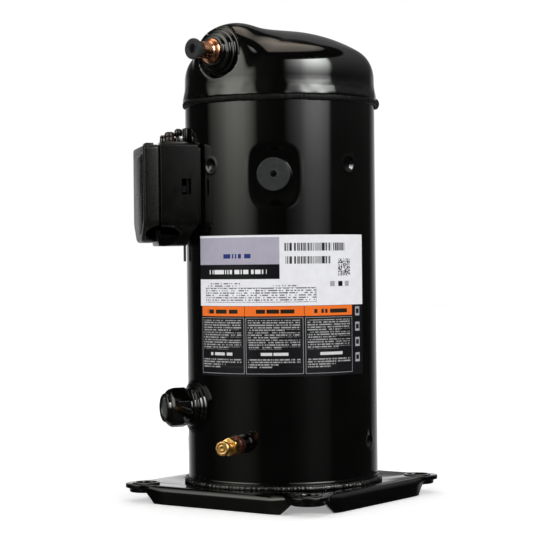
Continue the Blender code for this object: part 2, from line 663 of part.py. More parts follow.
def main_bearing_housing():
    top = HOUSING_TOP
    housing = turned("main_bearing_housing", [
        (82 * MM, top), (82 * MM, 312 * MM), (60 * MM, 306 * MM), (34 * MM, 298 * MM), (30 * MM, 292 * MM),
        (30 * MM, 262 * MM), (18.3 * MM, 262 * MM), (18.3 * MM, 297 * MM), (29 * MM, 297 * MM), (29 * MM, top),
        (41 * MM, top), (41 * MM, RECESS_Z), (66 * MM, RECESS_Z), (66 * MM, top)], IRON)
    for number, angle in enumerate(STAKE_ANGLES):
        lobe = block("housing_lobe_%d" % number, (10.3 * MM, 16 * MM, 15.8 * MM),
                     radial(angle, 83.1 * MM, 320 * MM), turn=(0, 0, math.radians(angle)))
        add(housing, lobe)
    long = KEY_LONG + 2 * ORBIT + 2 * GAP
    for side in (-1, 1):
        slot = block("housing_keyway_%d" % (side + 1), (KEY_WIDE + 2 * GAP, long, 13 * MM),
                     (0, side * OLDHAM_R, RECESS_Z))
        cut(housing, slot)
    for number in range(4):
        spot = radial(35 + 90 * number, SCROLL_BOLT_R)
        hole = rod("housing_bolt_hole_%d" % number, 3 * MM + GAP, 316 * MM, 335 * MM, steps=FINE, at=spot)
        cut(housing, hole)
    ring("main_bearing_bush", JOURNAL_R + GAP, 18 * MM, 264 * MM, 296 * MM, BRONZE, steps=SMALL)


def oldham_ring():
    low = RECESS_Z + GAP
    high = SCROLL_PLATE_LOW - GAP - 1 * MM
    coupling = ring("oldham_ring", 46.3 * MM, 61 * MM, low, high, STEEL)
    for side in (-1, 1):
        lower = block("housing_key_%d" % (side + 1), (KEY_WIDE, KEY_LONG, 7 * MM),
                      (0, side * OLDHAM_R, low - 2 * MM))
        upper = block("scroll_key_%d" % (side + 1), (KEY_LONG, KEY_WIDE, 4.5 * MM),
                      (side * OLDHAM_R, 0, high + 0.5 * MM))
        add(coupling, lower)
        add(coupling, upper)


# ---------------------------------------------------------------- shaft and motor

def crankshaft(parent):
    shaft = turned("crankshaft", [
        (0, 300 * MM), (JOURNAL_R, 300 * MM), (JOURNAL_R, 66 * MM), (LOW_JOURNAL_R, 64 * MM),
        (LOW_JOURNAL_R, 38 * MM), (0, 38 * MM)], STEEL, steps=SMALL, parent=parent)
    pin = rod("crank_pin", PIN_R, 298 * MM, 325 * MM, steps=SMALL, at=(ORBIT, 0, 0), parent=parent)
    add(shaft, pin)
    rod("oil_passage", 3 * MM, 30 * MM, 330 * MM, steps=FINE, at=(2 * MM, 0, 0), parent=parent)
    cut(shaft, bpy.data.objects["oil_passage"])
    ring("drive_bush", PIN_R + GAP, 14 * MM, 304 * MM, 326 * MM, STEEL, steps=SMALL,
         at=(ORBIT, 0, 0), parent=parent)


def rotor(parent):
    bore = JOURNAL_R + GAP
    ring("rotor_core", bore, ROTOR_R, STACK_LOW - 2 * MM, STACK_HIGH + 2 * MM, LAMINATION, parent=parent)
    up = STACK_HIGH + 2 * MM + GAP
    down = STACK_LOW - 2 * MM - GAP
    ring("rotor_end_ring_upper", 26 * MM, ROTOR_R - 1 * MM, up, up + 7 * MM, ALUMINIUM, parent=parent)
    ring("rotor_end_ring_lower", 26 * MM, ROTOR_R - 1 * MM, down - 7 * MM, down, ALUMINIUM, parent=parent)
    high = up + 7 * MM + GAP
    low = down - 7 * MM - GAP
    sector("upper_counterweight", bore, 44 * MM, high, high + 22 * MM, 180.0, 85.0, STEEL, SMALL, parent)
    sector("lower_counterweight", bore, 44 * MM, low - 18 * MM, low, 0.0, 85.0, STEEL, SMALL, parent)


def stator():
    core = ring("stator_core", STATOR_BORE, PART_R, STACK_LOW, STACK_HIGH, LAMINATION, steps=ROUND)
    for number in range(4):
        angle = 45 + 90 * number
        flat = block("stator_flat_%d" % number, (8 * MM, 30 * MM, 120 * MM),
                     radial(angle, 89.5 * MM, (STACK_LOW + STACK_HIGH) / 2), turn=(0, 0, math.radians(angle)))
        cut(core, flat)
    rise = 26 * MM
    for name, foot, side in (("upper_winding", STACK_HIGH + GAP, 1), ("lower_winding", STACK_LOW - GAP, -1)):
        shape = [(84, 0.1), (84, 0.7), (77, 1.0), (58, 1.0), (50, 0.7), (50, 0.0), (82, 0.0)]
        profile = [(radius * MM, foot + side * rise * share) for radius, share in shape]
        turned(name, profile if side < 0 else profile[::-1], ENAMEL)


def lower_bearing():
    bracket = ring("lower_bearing_bracket", 14.3 * MM, 22 * MM, 40 * MM, 62 * MM, IRON)
    for number, angle in enumerate(ARM_ANGLES):
        arm = block("bracket_arm_%d" % number, (69.5 * MM, 18 * MM, 8 * MM), radial(angle, 53 * MM, 54 * MM),
                    turn=(0, 0, math.radians(angle)))
        add(bracket, arm)
    ring("lower_bearing_bush", LOW_JOURNAL_R + GAP, 14 * MM, 41 * MM, 61 * MM, BRONZE, steps=SMALL)
    ring("thrust_washer", 6.6 * MM, 19 * MM, 34.5 * MM, 37.7 * MM, STEEL, steps=SMALL)


def oil_pickup(parent):
    turned("oil_pickup", [
        (6 * MM, 37.7 * MM), (6 * MM, 18 * MM), (4 * MM, 13 * MM), (2.5 * MM, 13 * MM), (4.4 * MM, 18.5 * MM),
        (4.4 * MM, 37.7 * MM)], STEEL, steps=SMALL, parent=parent)


def motor_lead():
    """Sleeved leads from the hermetic terminal's inner side down to the upper end winding."""
    curve = bpy.data.curves.new("motor_lead", "CURVE")
    curve.dimensions = "3D"
    curve.bevel_depth = 2.6 * MM
    curve.bevel_resolution = 2
    curve.use_fill_caps = True
    curve.resolution_u = 6
    spline = curve.splines.new("BEZIER")
    stops = [radial(BOX_ANGLE, 79 * MM, 300 * MM), radial(BOX_ANGLE, 70 * MM, 268 * MM),
             radial(BOX_ANGLE - 12, 72 * MM, 236 * MM)]
    spline.bezier_points.add(len(stops) - 1)
    for point, stop in zip(spline.bezier_points, stops):
        point.co = stop
        point.handle_left_type = "AUTO"
        point.handle_right_type = "AUTO"
    place(bpy.data.objects.new("motor_lead", curve), LEAD)


def rating_label():
    sector("rating_label", SHELL_R + GAP, SHELL_R + 2 * GAP, 123 * MM, 254.8 * MM, LABEL_ANGLE, 55.5, LABEL, 20)


def build():
    crank = empty("crank_axis", (0, 0, 0))
    orbit = empty("orbit_axis", (ORBIT, 0, 0))
    center_shell()
    top_cap()
    bottom_cap()
    base_plate()
    separator_plate()
    discharge_line()
    suction_line()
    sight_glass()
    process_valve()
    terminal_box()
    terminals()
    box_fixings()
    orbiting_scroll(orbit)
    fixed_scroll()
    main_bearing_housing()
    oldham_ring()
    crankshaft(crank)
    rotor(crank)
    stator()
    lower_bearing()
    oil_pickup(crank)
    motor_lead()
    rating_label()


build()
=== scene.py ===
"""Looks for the hermetic scroll compressor: finished outer pieces, materials, soft studio and camera.

Metres, +Z up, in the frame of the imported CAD. The places of the pieces are read from the CAD nodes. A profile
is a list of (radius, height) points, with the height measured along the piece's own axis.
"""

import json
import math

import bmesh
import bpy
import numpy as np
from mathutils import Matrix, Vector, noise


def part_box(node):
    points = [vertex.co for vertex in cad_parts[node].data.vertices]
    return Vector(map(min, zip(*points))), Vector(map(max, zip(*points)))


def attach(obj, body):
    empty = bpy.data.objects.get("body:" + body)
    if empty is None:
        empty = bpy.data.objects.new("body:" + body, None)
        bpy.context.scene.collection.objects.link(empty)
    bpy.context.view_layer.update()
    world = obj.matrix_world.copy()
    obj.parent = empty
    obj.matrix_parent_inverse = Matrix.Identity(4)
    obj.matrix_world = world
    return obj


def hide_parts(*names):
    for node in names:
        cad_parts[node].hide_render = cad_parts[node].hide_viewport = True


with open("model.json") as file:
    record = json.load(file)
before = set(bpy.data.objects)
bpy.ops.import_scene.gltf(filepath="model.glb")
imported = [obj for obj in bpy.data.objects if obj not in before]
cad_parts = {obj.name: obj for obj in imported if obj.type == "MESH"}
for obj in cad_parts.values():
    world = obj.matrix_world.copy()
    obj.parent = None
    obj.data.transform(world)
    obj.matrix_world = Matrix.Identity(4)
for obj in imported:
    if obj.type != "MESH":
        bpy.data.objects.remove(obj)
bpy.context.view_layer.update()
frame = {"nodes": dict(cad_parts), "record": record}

MM = 0.001
FULL_TURN = 2 * math.pi


# ---------------- places read from the CAD

def node_points(name):
    mesh = frame["nodes"][name].data
    points = np.empty(len(mesh.vertices) * 3)
    mesh.vertices.foreach_get("co", points)
    return points.reshape(-1, 3)


def bearing(name):
    """Direction of a node from the shell's axis in degrees, and the height of its middle."""
    low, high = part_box(name)
    middle = (Vector(low) + Vector(high)) / 2
    return math.degrees(math.atan2(middle.y, middle.x)), middle.z


def reach(name, angle):
    """Nearest and farthest distance of a node from the shell's axis, measured along one direction."""
    turn = math.radians(angle)
    along = node_points(name) @ np.array([math.cos(turn), math.sin(turn), 0.0])
    return float(along.min()), float(along.max())


def radial(angle, distance, z=0.0):
    turn = math.radians(angle)
    return Vector((distance * math.cos(turn), distance * math.sin(turn), z))


def outward(angle, z=0.0):
    """Placement on the shell's axis at height z, with local Z pointing out in this direction."""
    turn = Matrix.Rotation(math.radians(angle), 4, "Z") @ Matrix.Rotation(math.radians(90), 4, "Y")
    return Matrix.Translation((0, 0, z)) @ turn


def all_round(count):
    """Evenly spaced angles round an axis."""
    return np.arange(count) * FULL_TURN / count


def swing_from(angle, turns):
    """How far each of these angles is from a direction in degrees, at most half a turn either way."""
    return (turns - math.radians(angle) + math.pi) % FULL_TURN - math.pi


def ring(radius, turns, z):
    """One point for each angle; the radius and the height are numbers or one number for each angle."""
    return np.stack([radius * np.cos(turns), radius * np.sin(turns), z + 0.0 * turns], axis=1)


def millimetres(profile, shift=0.0):
    return [(r * MM, z * MM + shift) for r, z in profile]


BEAD = 1.0 * MM                     # the CAD shell's weld bead stands this far proud of its wall
SHELL_LOW, SHELL_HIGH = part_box("center_shell")
SHELL_BOTTOM = SHELL_LOW[2]
SHELL_TOP = SHELL_HIGH[2]
SHELL_R = (SHELL_HIGH[0] - SHELL_LOW[0]) / 2 - BEAD
SHELL_WALL = 3.5 * MM
RIM_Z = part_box("top_cap")[0][2]
DOME_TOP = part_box("top_cap")[1][2] - 5.9 * MM
DISCHARGE, DISCHARGE_Z = bearing("discharge_plug")
DISCHARGE_Z += 1 * MM
FACET = reach("discharge_plug", DISCHARGE)[1] - 40.4 * MM      # distance of the flat under the fitting
SUCTION, SUCTION_Z = bearing("suction_plug")
GLASS, GLASS_Z = bearing("sight_glass_lens")
VALVE, VALVE_Z = bearing("valve_cap")
BOX_ANGLE = bearing("terminal_block")[0]
TERMINAL_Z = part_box("hermetic_terminal")[1][2] - 20 * MM
# Press marks: direction in degrees, height in millimetres and relative size.
STAKES = [(-100, 321, 1.25), (-10, 321, 1.4), (80, 321, 1.25), (170, 321, 1.25),
          (9, 58, 1.4), (113, 54, 1.0), (217.5, 54, 1.0)]


# ---------------- materials

def tree_of(name):
    made = bpy.data.materials.new(name)
    made.use_nodes = True
    return made, made.node_tree, made.node_tree.nodes["Principled BSDF"]


def adjust(shader, values):
    for key, value in values.items():
        shader.inputs[key].default_value = value


def node(tree, kind, values=None, **settings):
    made = tree.nodes.new(kind)
    for key, value in settings.items():
        setattr(made, key, value)
    adjust(made, values or {})
    return made


def wire(tree, source, output, target, slot):
    tree.links.new(source.outputs[output], target.inputs[slot])


def noise_at(tree, scale, detail=3.0, stretch=(1, 1, 1)):
    place = node(tree, "ShaderNodeTexCoord")
    sized = node(tree, "ShaderNodeMapping", {"Scale": stretch})
    grain = node(tree, "ShaderNodeTexNoise", {"Scale": scale, "Detail": detail, "Roughness": 0.55})
    wire(tree, place, "Object", sized, "Vector")
    wire(tree, sized, "Vector", grain, "Vector")
    return grain


def remap(tree, source, output, low, high):
    """Stretch the middle of a noise's range over low to high."""
    band = node(tree, "ShaderNodeMapRange", {1: 0.3, 2: 0.7, 3: low, 4: high})
    wire(tree, source, output, band, 0)
    return band.outputs[0]


def mix(tree, share, first, second):
    """Colour between first and second, each a colour or a socket; share is a socket."""
    blend = node(tree, "ShaderNodeMix", data_type="RGBA")
    tree.links.new(share, blend.inputs[0])
    for slot, value in ((6, first), (7, second)):
        if isinstance(value, tuple):
            blend.inputs[slot].default_value = (*value, 1)
        else:
            tree.links.new(value, blend.inputs[slot])
    return blend.outputs[2]


def calculate(tree, operation, *terms):
    """Maths on numbers and sockets."""
    step = node(tree, "ShaderNodeMath", operation=operation)
    for i, term in enumerate(terms):
        if isinstance(term, (int, float)):
            step.inputs[i].default_value = term
        else:
            tree.links.new(term, step.inputs[i])
    return step.outputs[0]


def relief(tree, shader, grain, strength, depth):
    bump = node(tree, "ShaderNodeBump", {"Strength": strength, "Distance": depth})
    wire(tree, grain, "Fac", bump, "Height")
    wire(tree, bump, "Normal", shader, "Normal")


def finish(name, dark, light, rough, metallic=0.0, scale=60.0, grain=900.0, bump=0.05, depth=0.1 * MM,
           stretch=(1, 1, 1), coat=0.0, gloss=0.5):
    """A worked surface: cloudy colour from dark to light, uneven roughness and fine relief."""
    made, tree, shader = tree_of(name)
    cloud = noise_at(tree, scale, 5.0, stretch)
    tint = mix(tree, remap(tree, cloud, "Fac", 0.0, 1.0), dark, light)
    tree.links.new(tint, shader.inputs["Base Color"])
    smudge = noise_at(tree, scale * 2.5, 6.0, stretch)
    tree.links.new(remap(tree, smudge, "Fac", rough[0], rough[1]), shader.inputs["Roughness"])
    relief(tree, shader, noise_at(tree, grain, 4.0, stretch), bump, depth)
    adjust(shader, {"Metallic": metallic, "Specular IOR Level": gloss})
    adjust(shader, {"Coat Weight": coat, "Coat Roughness": 0.06})
    return made


PAINT = finish("gloss_black_paint", (0.0008, 0.0008, 0.0007), (0.0020, 0.0019, 0.0017), (0.045, 0.085),
               scale=22, grain=420, bump=0.10, depth=0.05 * MM)
WELD = finish("painted_weld", (0.003, 0.003, 0.003), (0.009, 0.008, 0.007), (0.14, 0.34),
              scale=140, grain=420, bump=0.9, depth=0.6 * MM)
SEAM = finish("dark_seam", (0.0015, 0.0015, 0.0015), (0.005, 0.005, 0.0045), (0.4, 0.62),
              scale=140, grain=420, bump=0.8, depth=0.5 * MM, gloss=0.12)
COPPER = finish("brushed_copper", (0.70, 0.27, 0.13), (0.93, 0.47, 0.27), (0.16, 0.34), 1.0, 90, 1500, 0.15)
BURNT = finish("burnt_copper", (0.045, 0.010, 0.008), (0.16, 0.05, 0.035), (0.2, 0.42), 0.7, 110, 1500, 0.2)
BRASS = finish("machined_brass", (0.42, 0.22, 0.06), (0.76, 0.47, 0.17), (0.24, 0.38), 1.0, 160, 1600, 0.2)
RUBBER = finish("moulded_rubber", (0.014, 0.0155, 0.0155), (0.024, 0.026, 0.026), (0.5, 0.72),
                scale=260, grain=1500, bump=0.5, depth=0.2 * MM, gloss=0.25)
PLASTIC = finish("moulded_plastic", (0.0018, 0.0018, 0.0017), (0.0048, 0.0047, 0.0042), (0.15, 0.22),
                 scale=90, grain=3200, bump=0.12, gloss=0.16)
GRAINED = finish("grained_plastic", (0.0036, 0.0037, 0.0035), (0.0085, 0.0086, 0.0078), (0.20, 0.34),
                 scale=420, grain=1900, bump=0.35, depth=0.2 * MM, gloss=0.18)
AMBER = finish("brown_clip", (0.016, 0.008, 0.006), (0.045, 0.022, 0.016), (0.28, 0.45),
               scale=150, grain=1500, bump=0.2)
STEEL = finish("turned_steel", (0.42, 0.42, 0.43), (0.62, 0.62, 0.63), (0.2, 0.38), 1.0, 70, 900, 0.12,
               stretch=(1, 1, 8))
IRON = finish("grey_iron", (0.16, 0.16, 0.165), (0.29, 0.29, 0.30), (0.5, 0.72), 0.7, 140, 1400, 0.5,
              0.2 * MM)
ALLOY = finish("cast_alloy", (0.56, 0.57, 0.58), (0.74, 0.75, 0.76), (0.34, 0.52), 1.0, 100, 1200, 0.3)
BRONZE = finish("bearing_bronze", (0.42, 0.27, 0.11), (0.62, 0.43, 0.2), (0.26, 0.42), 1.0, 110, 1500, 0.15)
STACK = finish("stacked_laminations", (0.16, 0.16, 0.17), (0.36, 0.36, 0.38), (0.35, 0.5), 0.9, 30, 300, 0.4,
               0.2 * MM, stretch=(0.2, 0.2, 14))
COIL = finish("enamelled_coil", (0.28, 0.07, 0.02), (0.62, 0.24, 0.07), (0.25, 0.4), 0.4, 60, 500, 0.7,
              0.5 * MM, stretch=(6, 6, 0.6))
PRESSED = finish("pressed_plate", (0.035, 0.035, 0.037), (0.060, 0.060, 0.063), (0.25, 0.4),
                 scale=90, grain=1500, bump=0.2)
SLEEVE = finish("woven_sleeve", (0.5, 0.47, 0.38), (0.72, 0.69, 0.6), (0.6, 0.8), 0.0, 300, 1600, 0.6)
SEALING = finish("seal_polymer_grain", (0.03, 0.027, 0.024), (0.06, 0.055, 0.05), (0.5, 0.7),
                 scale=150, grain=1500, bump=0.3)
LENS = finish("oily_glass", (0.012, 0.016, 0.014), (0.035, 0.040, 0.034), (0.05, 0.14), grain=700, coat=1.0)

SLOT_LOOKS = {
    "black_paint": PAINT, "copper": COPPER, "brass": BRASS, "black_rubber": RUBBER, "black_plastic": PLASTIC,
    "machined_steel": STEEL, "cast_iron": IRON, "lamination_steel": STACK, "cast_aluminium": ALLOY,
    "enamelled_winding": COIL, "bronze_bush": BRONZE, "sight_glass": LENS, "label_film": PLASTIC,
    "seal_polymer": SEALING, "lead_sleeve": SLEEVE,
}


def dress_cad():
    """Give every CAD node the look of its material slot."""
    for part in frame["record"]["subparts"]:
        mesh = frame["nodes"][part["node"]].data
        mesh.materials.clear()
        mesh.materials.append(SLOT_LOOKS[part["material_slot"]])


# ---------------- building pieces

def add_object(name, mesh, skin, sharp=32):
    if skin is not None:
        mesh.materials.append(skin)
    obj = bpy.data.objects.new(name, mesh)
    bpy.context.scene.collection.objects.link(obj)
    if sharp:
        mesh.shade_smooth()
        mesh.set_sharp_from_angle(angle=math.radians(sharp))
    return obj


def keep(obj, cad, body="housing"):
    """Hide the CAD nodes that a finished piece stands for, and attach it to the body it moves with."""
    if cad:
        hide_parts(*cad)
    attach(obj, body)
    return obj


def bake(obj, sharp=32):
    """Turn an object's modifiers into its mesh."""
    made = bpy.data.meshes.new_from_object(obj.evaluated_get(bpy.context.evaluated_depsgraph_get()))
    obj.modifiers.clear()
    obj.data = made
    if sharp:
        made.shade_smooth()
        made.set_sharp_from_angle(angle=math.radians(sharp))
    return obj


def bevel(obj, width, segments=3, angle=35):
    step = obj.modifiers.new("bevel", "BEVEL")
    step.width = width
    step.segments = segments
    step.limit_method = "ANGLE"
    step.angle_limit = math.radians(angle)
    return obj


def thicken(obj, thickness, offset=-1.0):
    step = obj.modifiers.new("wall", "SOLIDIFY")
    step.thickness = thickness
    step.offset = offset
    return obj


def combine(obj, other, operation="DIFFERENCE"):
    """Cut, join or intersect one closed piece with another, which is used up."""
    step = obj.modifiers.new(other.name, "BOOLEAN")
    step.operation = operation
    step.solver = "EXACT"
    step.object = other
    bake(obj, 0)
    bpy.data.objects.remove(other, do_unlink=True)
    return obj


def arc_through(start, corner, end, steps):
    """Points of a curve from start to end that bends at the corner."""
    shares = [k / steps for k in range(steps + 1)]
    return [tuple(start * (1 - t) ** 2 + corner * 2 * t * (1 - t) + end * t ** 2) for t in shares]


def rounded(points, radii):
    """Ease the corners of an open outline; its ends, and corners with a radius of 0, stay sharp."""
    out = []
    for i, (corner, radius) in enumerate(zip(points, radii)):
        here = Vector(corner)
        if radius <= 0 or i in (0, len(points) - 1):
            out.append(tuple(here))
            continue
        before = Vector(points[i - 1]) - here
        after = Vector(points[i + 1]) - here
        cut = min(radius, before.length * 0.49, after.length * 0.49)
        out += arc_through(here + before.normalized() * cut, here, here + after.normalized() * cut, 4)
    return out


def lathe(name, profile, skin, place=None, radius=0.6 * MM, steps=96, sharp=40):
    """Turned solid with its corners eased; it is a closed ring if the profile starts off the axis."""
    path = rounded(profile, [radius] * len(profile)) if radius else profile
    closed = profile[0][0] > 0
    rows = [ring(r, all_round(steps), z) for r, z in path]
    obj = grid(name, rows, skin, closed, sharp)
    if place is not None:
        obj.data.transform(place)
    return obj


def grid(name, rows, skin, closed=False, sharp=32):
    """Skin a stack of rings; rings of no size close to a point, and a closed stack meets itself."""
    count = len(rows[0])
    steps = len(rows)
    points = np.concatenate(rows)
    faces = []
    for i in range(steps if closed else steps - 1):
        here = i * count
        there = ((i + 1) % steps) * count
        for j in range(count):
            k = (j + 1) % count
            faces.append((here + j, there + j, there + k, here + k))
    solid = bmesh.new()
    mesh = bpy.data.meshes.new(name)
    mesh.from_pydata(points.tolist(), [], faces)
    solid.from_mesh(mesh)
    bmesh.ops.remove_doubles(solid, verts=solid.verts, dist=0.000002)
    bmesh.ops.dissolve_degenerate(solid, edges=solid.edges, dist=0.000001)
    bmesh.ops.recalc_face_normals(solid, faces=solid.faces)
    solid.to_mesh(mesh)
    solid.free()
    return add_object(name, mesh, skin, sharp)


def prism(name, loops, low, high, place=None):
    """Closed outlines in local XY filled and given thickness from low to high."""
    curve = bpy.data.curves.new(name, "CURVE")
    curve.dimensions = "2D"
    curve.fill_mode = "BOTH"
    curve.extrude = (high - low) / 2
    for loop in loops:
        spline = curve.splines.new("POLY")
        spline.points.add(len(loop) - 1)
        for point, (x, y) in zip(spline.points, loop):
            point.co = (x, y, 0.0, 1.0)
        spline.use_cyclic_u = True
    drawn = bpy.data.objects.new(name, curve)
    mesh = bpy.data.meshes.new_from_object(drawn)
    bpy.data.objects.remove(drawn, do_unlink=True)
    solid = bmesh.new()
    solid.from_mesh(mesh)
    bmesh.ops.remove_doubles(solid, verts=solid.verts, dist=0.000005)
    bmesh.ops.translate(solid, vec=(0, 0, (low + high) / 2), verts=solid.verts)
    bmesh.ops.dissolve_limit(solid, angle_limit=0.01, verts=solid.verts, edges=solid.edges)
    bmesh.ops.recalc_face_normals(solid, faces=solid.faces)
    solid.to_mesh(mesh)
    solid.free()
    mesh.materials.clear()
    if place is not None:
        mesh.transform(place)
    return add_object(name, mesh, None, 0)


def sheet_mesh(name, points, columns):
    """Open sheet over rows of points, with this many points in a row."""
    faces = []
    for i in range(len(points) // columns - 1):
        for j in range(columns - 1):
            a = i * columns + j
            faces.append((a, a + columns, a + columns + 1, a + 1))
    mesh = bpy.data.meshes.new(name)
    mesh.from_pydata(points, [], faces)
    return mesh


def circle(radius, count, x=0.0, y=0.0, start=0.0):
    turns = [start + FULL_TURN * i / count for i in range(count)]
    return [(x + radius * math.cos(t), y + radius * math.sin(t)) for t in turns]


def drill(name, radius, low, high, place, steps=64):
    return prism(name, [circle(radius, steps)], low, high, place)


def slab(name, size, place):
    """Block of the given size in millimetres."""
    x, y, z = [length * MM / 2 for length in size]
    return prism(name, [[(-x, -y), (x, -y), (x, y), (-x, y)]], -z, z, place)


def soft_slab(name, size, place, ease, segments=2, skin=None):
    """Block with its edges eased."""
    obj = bake(bevel(slab(name, size, place), ease, segments), 30)
    if skin is not None:
        obj.data.materials.append(skin)
    return obj


def join(name, objects, skin, sharp=35):
    """Merge several finished meshes into one piece."""
    solid = bmesh.new()
    for obj in objects:
        solid.from_mesh(obj.data)
    mesh = bpy.data.meshes.new(name)
    solid.to_mesh(mesh)
    solid.free()
    for obj in objects:
        bpy.data.objects.remove(obj, do_unlink=True)
    return add_object(name, mesh, skin, sharp)


def smooth_step(low, high, value):
    t = np.clip((value - low) / (high - low), 0.0, 1.0)
    return t * t * (3 - 2 * t)


def waves(turns, scale, height):
    """Smooth noise round an axis; a larger scale makes shorter waves."""
    return np.array([noise.noise(Vector((math.cos(t) * scale, math.sin(t) * scale, height))) for t in turns])


# ---------------- shell, caps and welds

def stake_depth(turns, z):
    """Inward press marks that hold the bearing housings, each with a slightly raised rim."""
    depth = np.zeros_like(turns)
    for angle, height, size in STAKES:
        away = np.hypot(swing_from(angle, turns) * SHELL_R, z - height * MM)
        depth -= 2.3 * MM * (1 - smooth_step(1.8 * size * MM, 4.9 * size * MM, away))
        depth += 0.25 * MM * np.exp(-((away - 5.6 * size * MM) / (1.2 * MM)) ** 2)
    return depth


def suction_pad(turns, z):
    """Radius of the flat pressed around the suction stub, and how fully it applies."""
    swing = np.clip(swing_from(SUCTION, turns), -1.2, 1.2)
    side = np.abs(np.tan(swing) * SHELL_R)
    rise = np.abs(z - SUCTION_Z + 1 * MM)
    corner = (side / (25.5 * MM)) ** 3 + (rise / (27.5 * MM)) ** 3
    weight = 1 - smooth_step(0.25, 1.45, corner)
    flat = (SHELL_R - 3.2 * MM) / np.cos(swing)
    return flat, weight


def shell():
    """The long tube. Its rows are close together where the stakes and the suction pad need them."""
    turns = all_round(480)
    heights = [SHELL_BOTTOM, SHELL_TOP]
    heights += list(np.arange(SHELL_BOTTOM + 4 * MM, SHELL_TOP - 4 * MM, 11 * MM))
    heights += list(np.arange(44 * MM, 64 * MM, 0.9 * MM))
    heights += list(np.arange(276 * MM, 344 * MM, 1.4 * MM))
    rows = []
    for z in sorted(heights, reverse=True):
        round_r = SHELL_R + stake_depth(turns, z)
        flat, weight = suction_pad(turns, z)
        rows.append(ring(round_r * (1 - weight) + flat * weight, turns, z))
    rows += [ring(SHELL_R - SHELL_WALL, turns, z) for z in (SHELL_BOTTOM, SHELL_TOP)]
    obj = grid("shell_tube", rows, PAINT, closed=True)
    for angle, z, radius in ((SUCTION, SUCTION_Z, 14.3), (GLASS, GLASS_Z, 14.3), (VALVE, VALVE_Z, 9.3),
                             (BOX_ANGLE, TERMINAL_Z, 20.3)):
        combine(obj, drill("bore", radius * MM, 70 * MM, 110 * MM, outward(angle, z)))
    bake(obj, 40)
    return keep(obj, ["center_shell"])


DOME_R = 153.7 * MM
RIDGE_R = 38.2 * MM
RIDGE_SLOPE = 18.5 / 79             # the ridge climbs towards the discharge fitting
RIDGE_END = 79 * MM
RIDGE_DROP = 3.3 * MM               # at its end the ridge's middle is this far under the fitting's
SPOT_R = 24.3 * MM


def blend_max(a, b, width):
    """The larger of two distances, rounded over a width where they are nearly the same."""
    near = np.maximum(width - np.abs(a - b), 0.0) / width
    return np.maximum(a, b) + near * near * width / 4


def cap_depth(x, y, z):
    """Distance to the cap's outer face, below 0 inside: a domed can, a ridge and a flat for the fitting."""
    facing = radial(DISCHARGE, 1.0)
    out = x * facing.x + y * facing.y
    side = x * facing.y - y * facing.x
    wall = np.hypot(x, y) - SHELL_R
    dome = np.sqrt(x * x + y * y + (z - (DOME_TOP - DOME_R)) ** 2) - DOME_R
    droop = 4.1 * MM * (np.maximum(out - 50 * MM, 0.0) / (20 * MM)) ** 2
    rise = z - DISCHARGE_Z + RIDGE_DROP - RIDGE_SLOPE * (out - RIDGE_END) + droop
    ridge = np.sqrt((0.98 * side) ** 2 + rise * rise + np.minimum(out, 0.0) ** 2) - RIDGE_R
    top = -blend_max(-dome, -ridge, 12.2 * MM)
    width = (14.8 - 6.0 * smooth_step(-10 * MM, 10 * MM, dome - ridge)) * MM
    body = blend_max(wall, top, width)
    from_fitting = np.hypot(side, z - DISCHARGE_Z)
    spot = blend_max(FACET - out, from_fitting - SPOT_R, 1.5 * MM)
    return blend_max(body, -spot, 2.5 * MM)


def cap_row(turns, lift):
    """Ring of the cap where rays that climb at this angle from the rim's middle meet its outer face."""
    flat = math.cos(lift)
    steep = math.sin(lift)
    near = np.zeros(len(turns))
    far = np.full(len(turns), 2 * SHELL_R)
    for _ in range(34):
        middle = (near + far) / 2
        x = middle * flat * np.cos(turns)
        y = middle * flat * np.sin(turns)
        inside = cap_depth(x, y, RIM_Z + middle * steep) < 0
        near = np.where(inside, middle, near)
        far = np.where(inside, far, middle)
    return ring(near * flat, turns, RIM_Z + near * steep)


def top_cap():
    """The domed cap: a flared, slightly uneven lip, then rings cast up to the crown."""
    turns = all_round(360)
    rows = []
    lip = rounded([(0.0, 1.4), (0.3, 1.9), (1.4, 2.1), (3.0, 1.95), (9.0, 0.75), (14.0, 0.15), (17.5, 0.0)],
                  [0, 0.3, 0.4, 0.6, 1, 1, 0])
    for rise, flare in lip:
        uneven = 0.4 * waves(turns, 9, rise * 0.2) * min(1.0, flare)
        rows.append(ring(SHELL_R + (flare + uneven) * MM, turns, RIM_Z + rise * MM))
    first = math.atan2(18.2 * MM, SHELL_R)
    for lift in np.linspace(first, math.radians(16), 22):
        rows.append(cap_row(turns, lift))
    for lift in np.linspace(math.radians(17), math.radians(89.9), 84):
        rows.append(cap_row(turns, lift))
    rows.append(np.repeat(rows[-1].mean(axis=0)[None, :], len(turns), axis=0))
    obj = grid("domed_cap", rows, PAINT, sharp=60)
    bake(thicken(obj, 2.6 * MM), 60)
    combine(obj, drill("cap_bore", 11.3 * MM, 60 * MM, 95 * MM, outward(DISCHARGE, DISCHARGE_Z)))
    bake(obj, 60)
    return keep(obj, ["top_cap"])


def weld(name, radius, z, wide, tall, lumps, seed, skin):
    """A run of weld: ripples, and lumps of (direction, size, spread) where it starts and stops."""
    turns = all_round(720)
    ripple = waves(turns, 44, seed + 9)
    rough = np.array([noise.fractal(Vector((math.cos(t) * 30 + seed, math.sin(t) * 30, 0)), 1.0, 2.0, 4)
                      for t in turns])
    swell = 0.84 + 0.13 * ripple + 0.28 * rough
    sway = waves(turns, 5, seed + 4)
    for angle, size, spread in lumps:
        swell += size * np.exp(-(swing_from(angle, turns) / math.radians(spread)) ** 2)
    rows = []
    for t in all_round(12):
        height = z + sway * 0.5 * MM + tall * (0.6 + 0.4 * swell) * math.sin(t)
        rows.append(ring(radius + wide * swell * math.cos(t), turns, height))
    obj = grid(name, rows, skin, closed=True, sharp=80)
    return keep(obj, [])


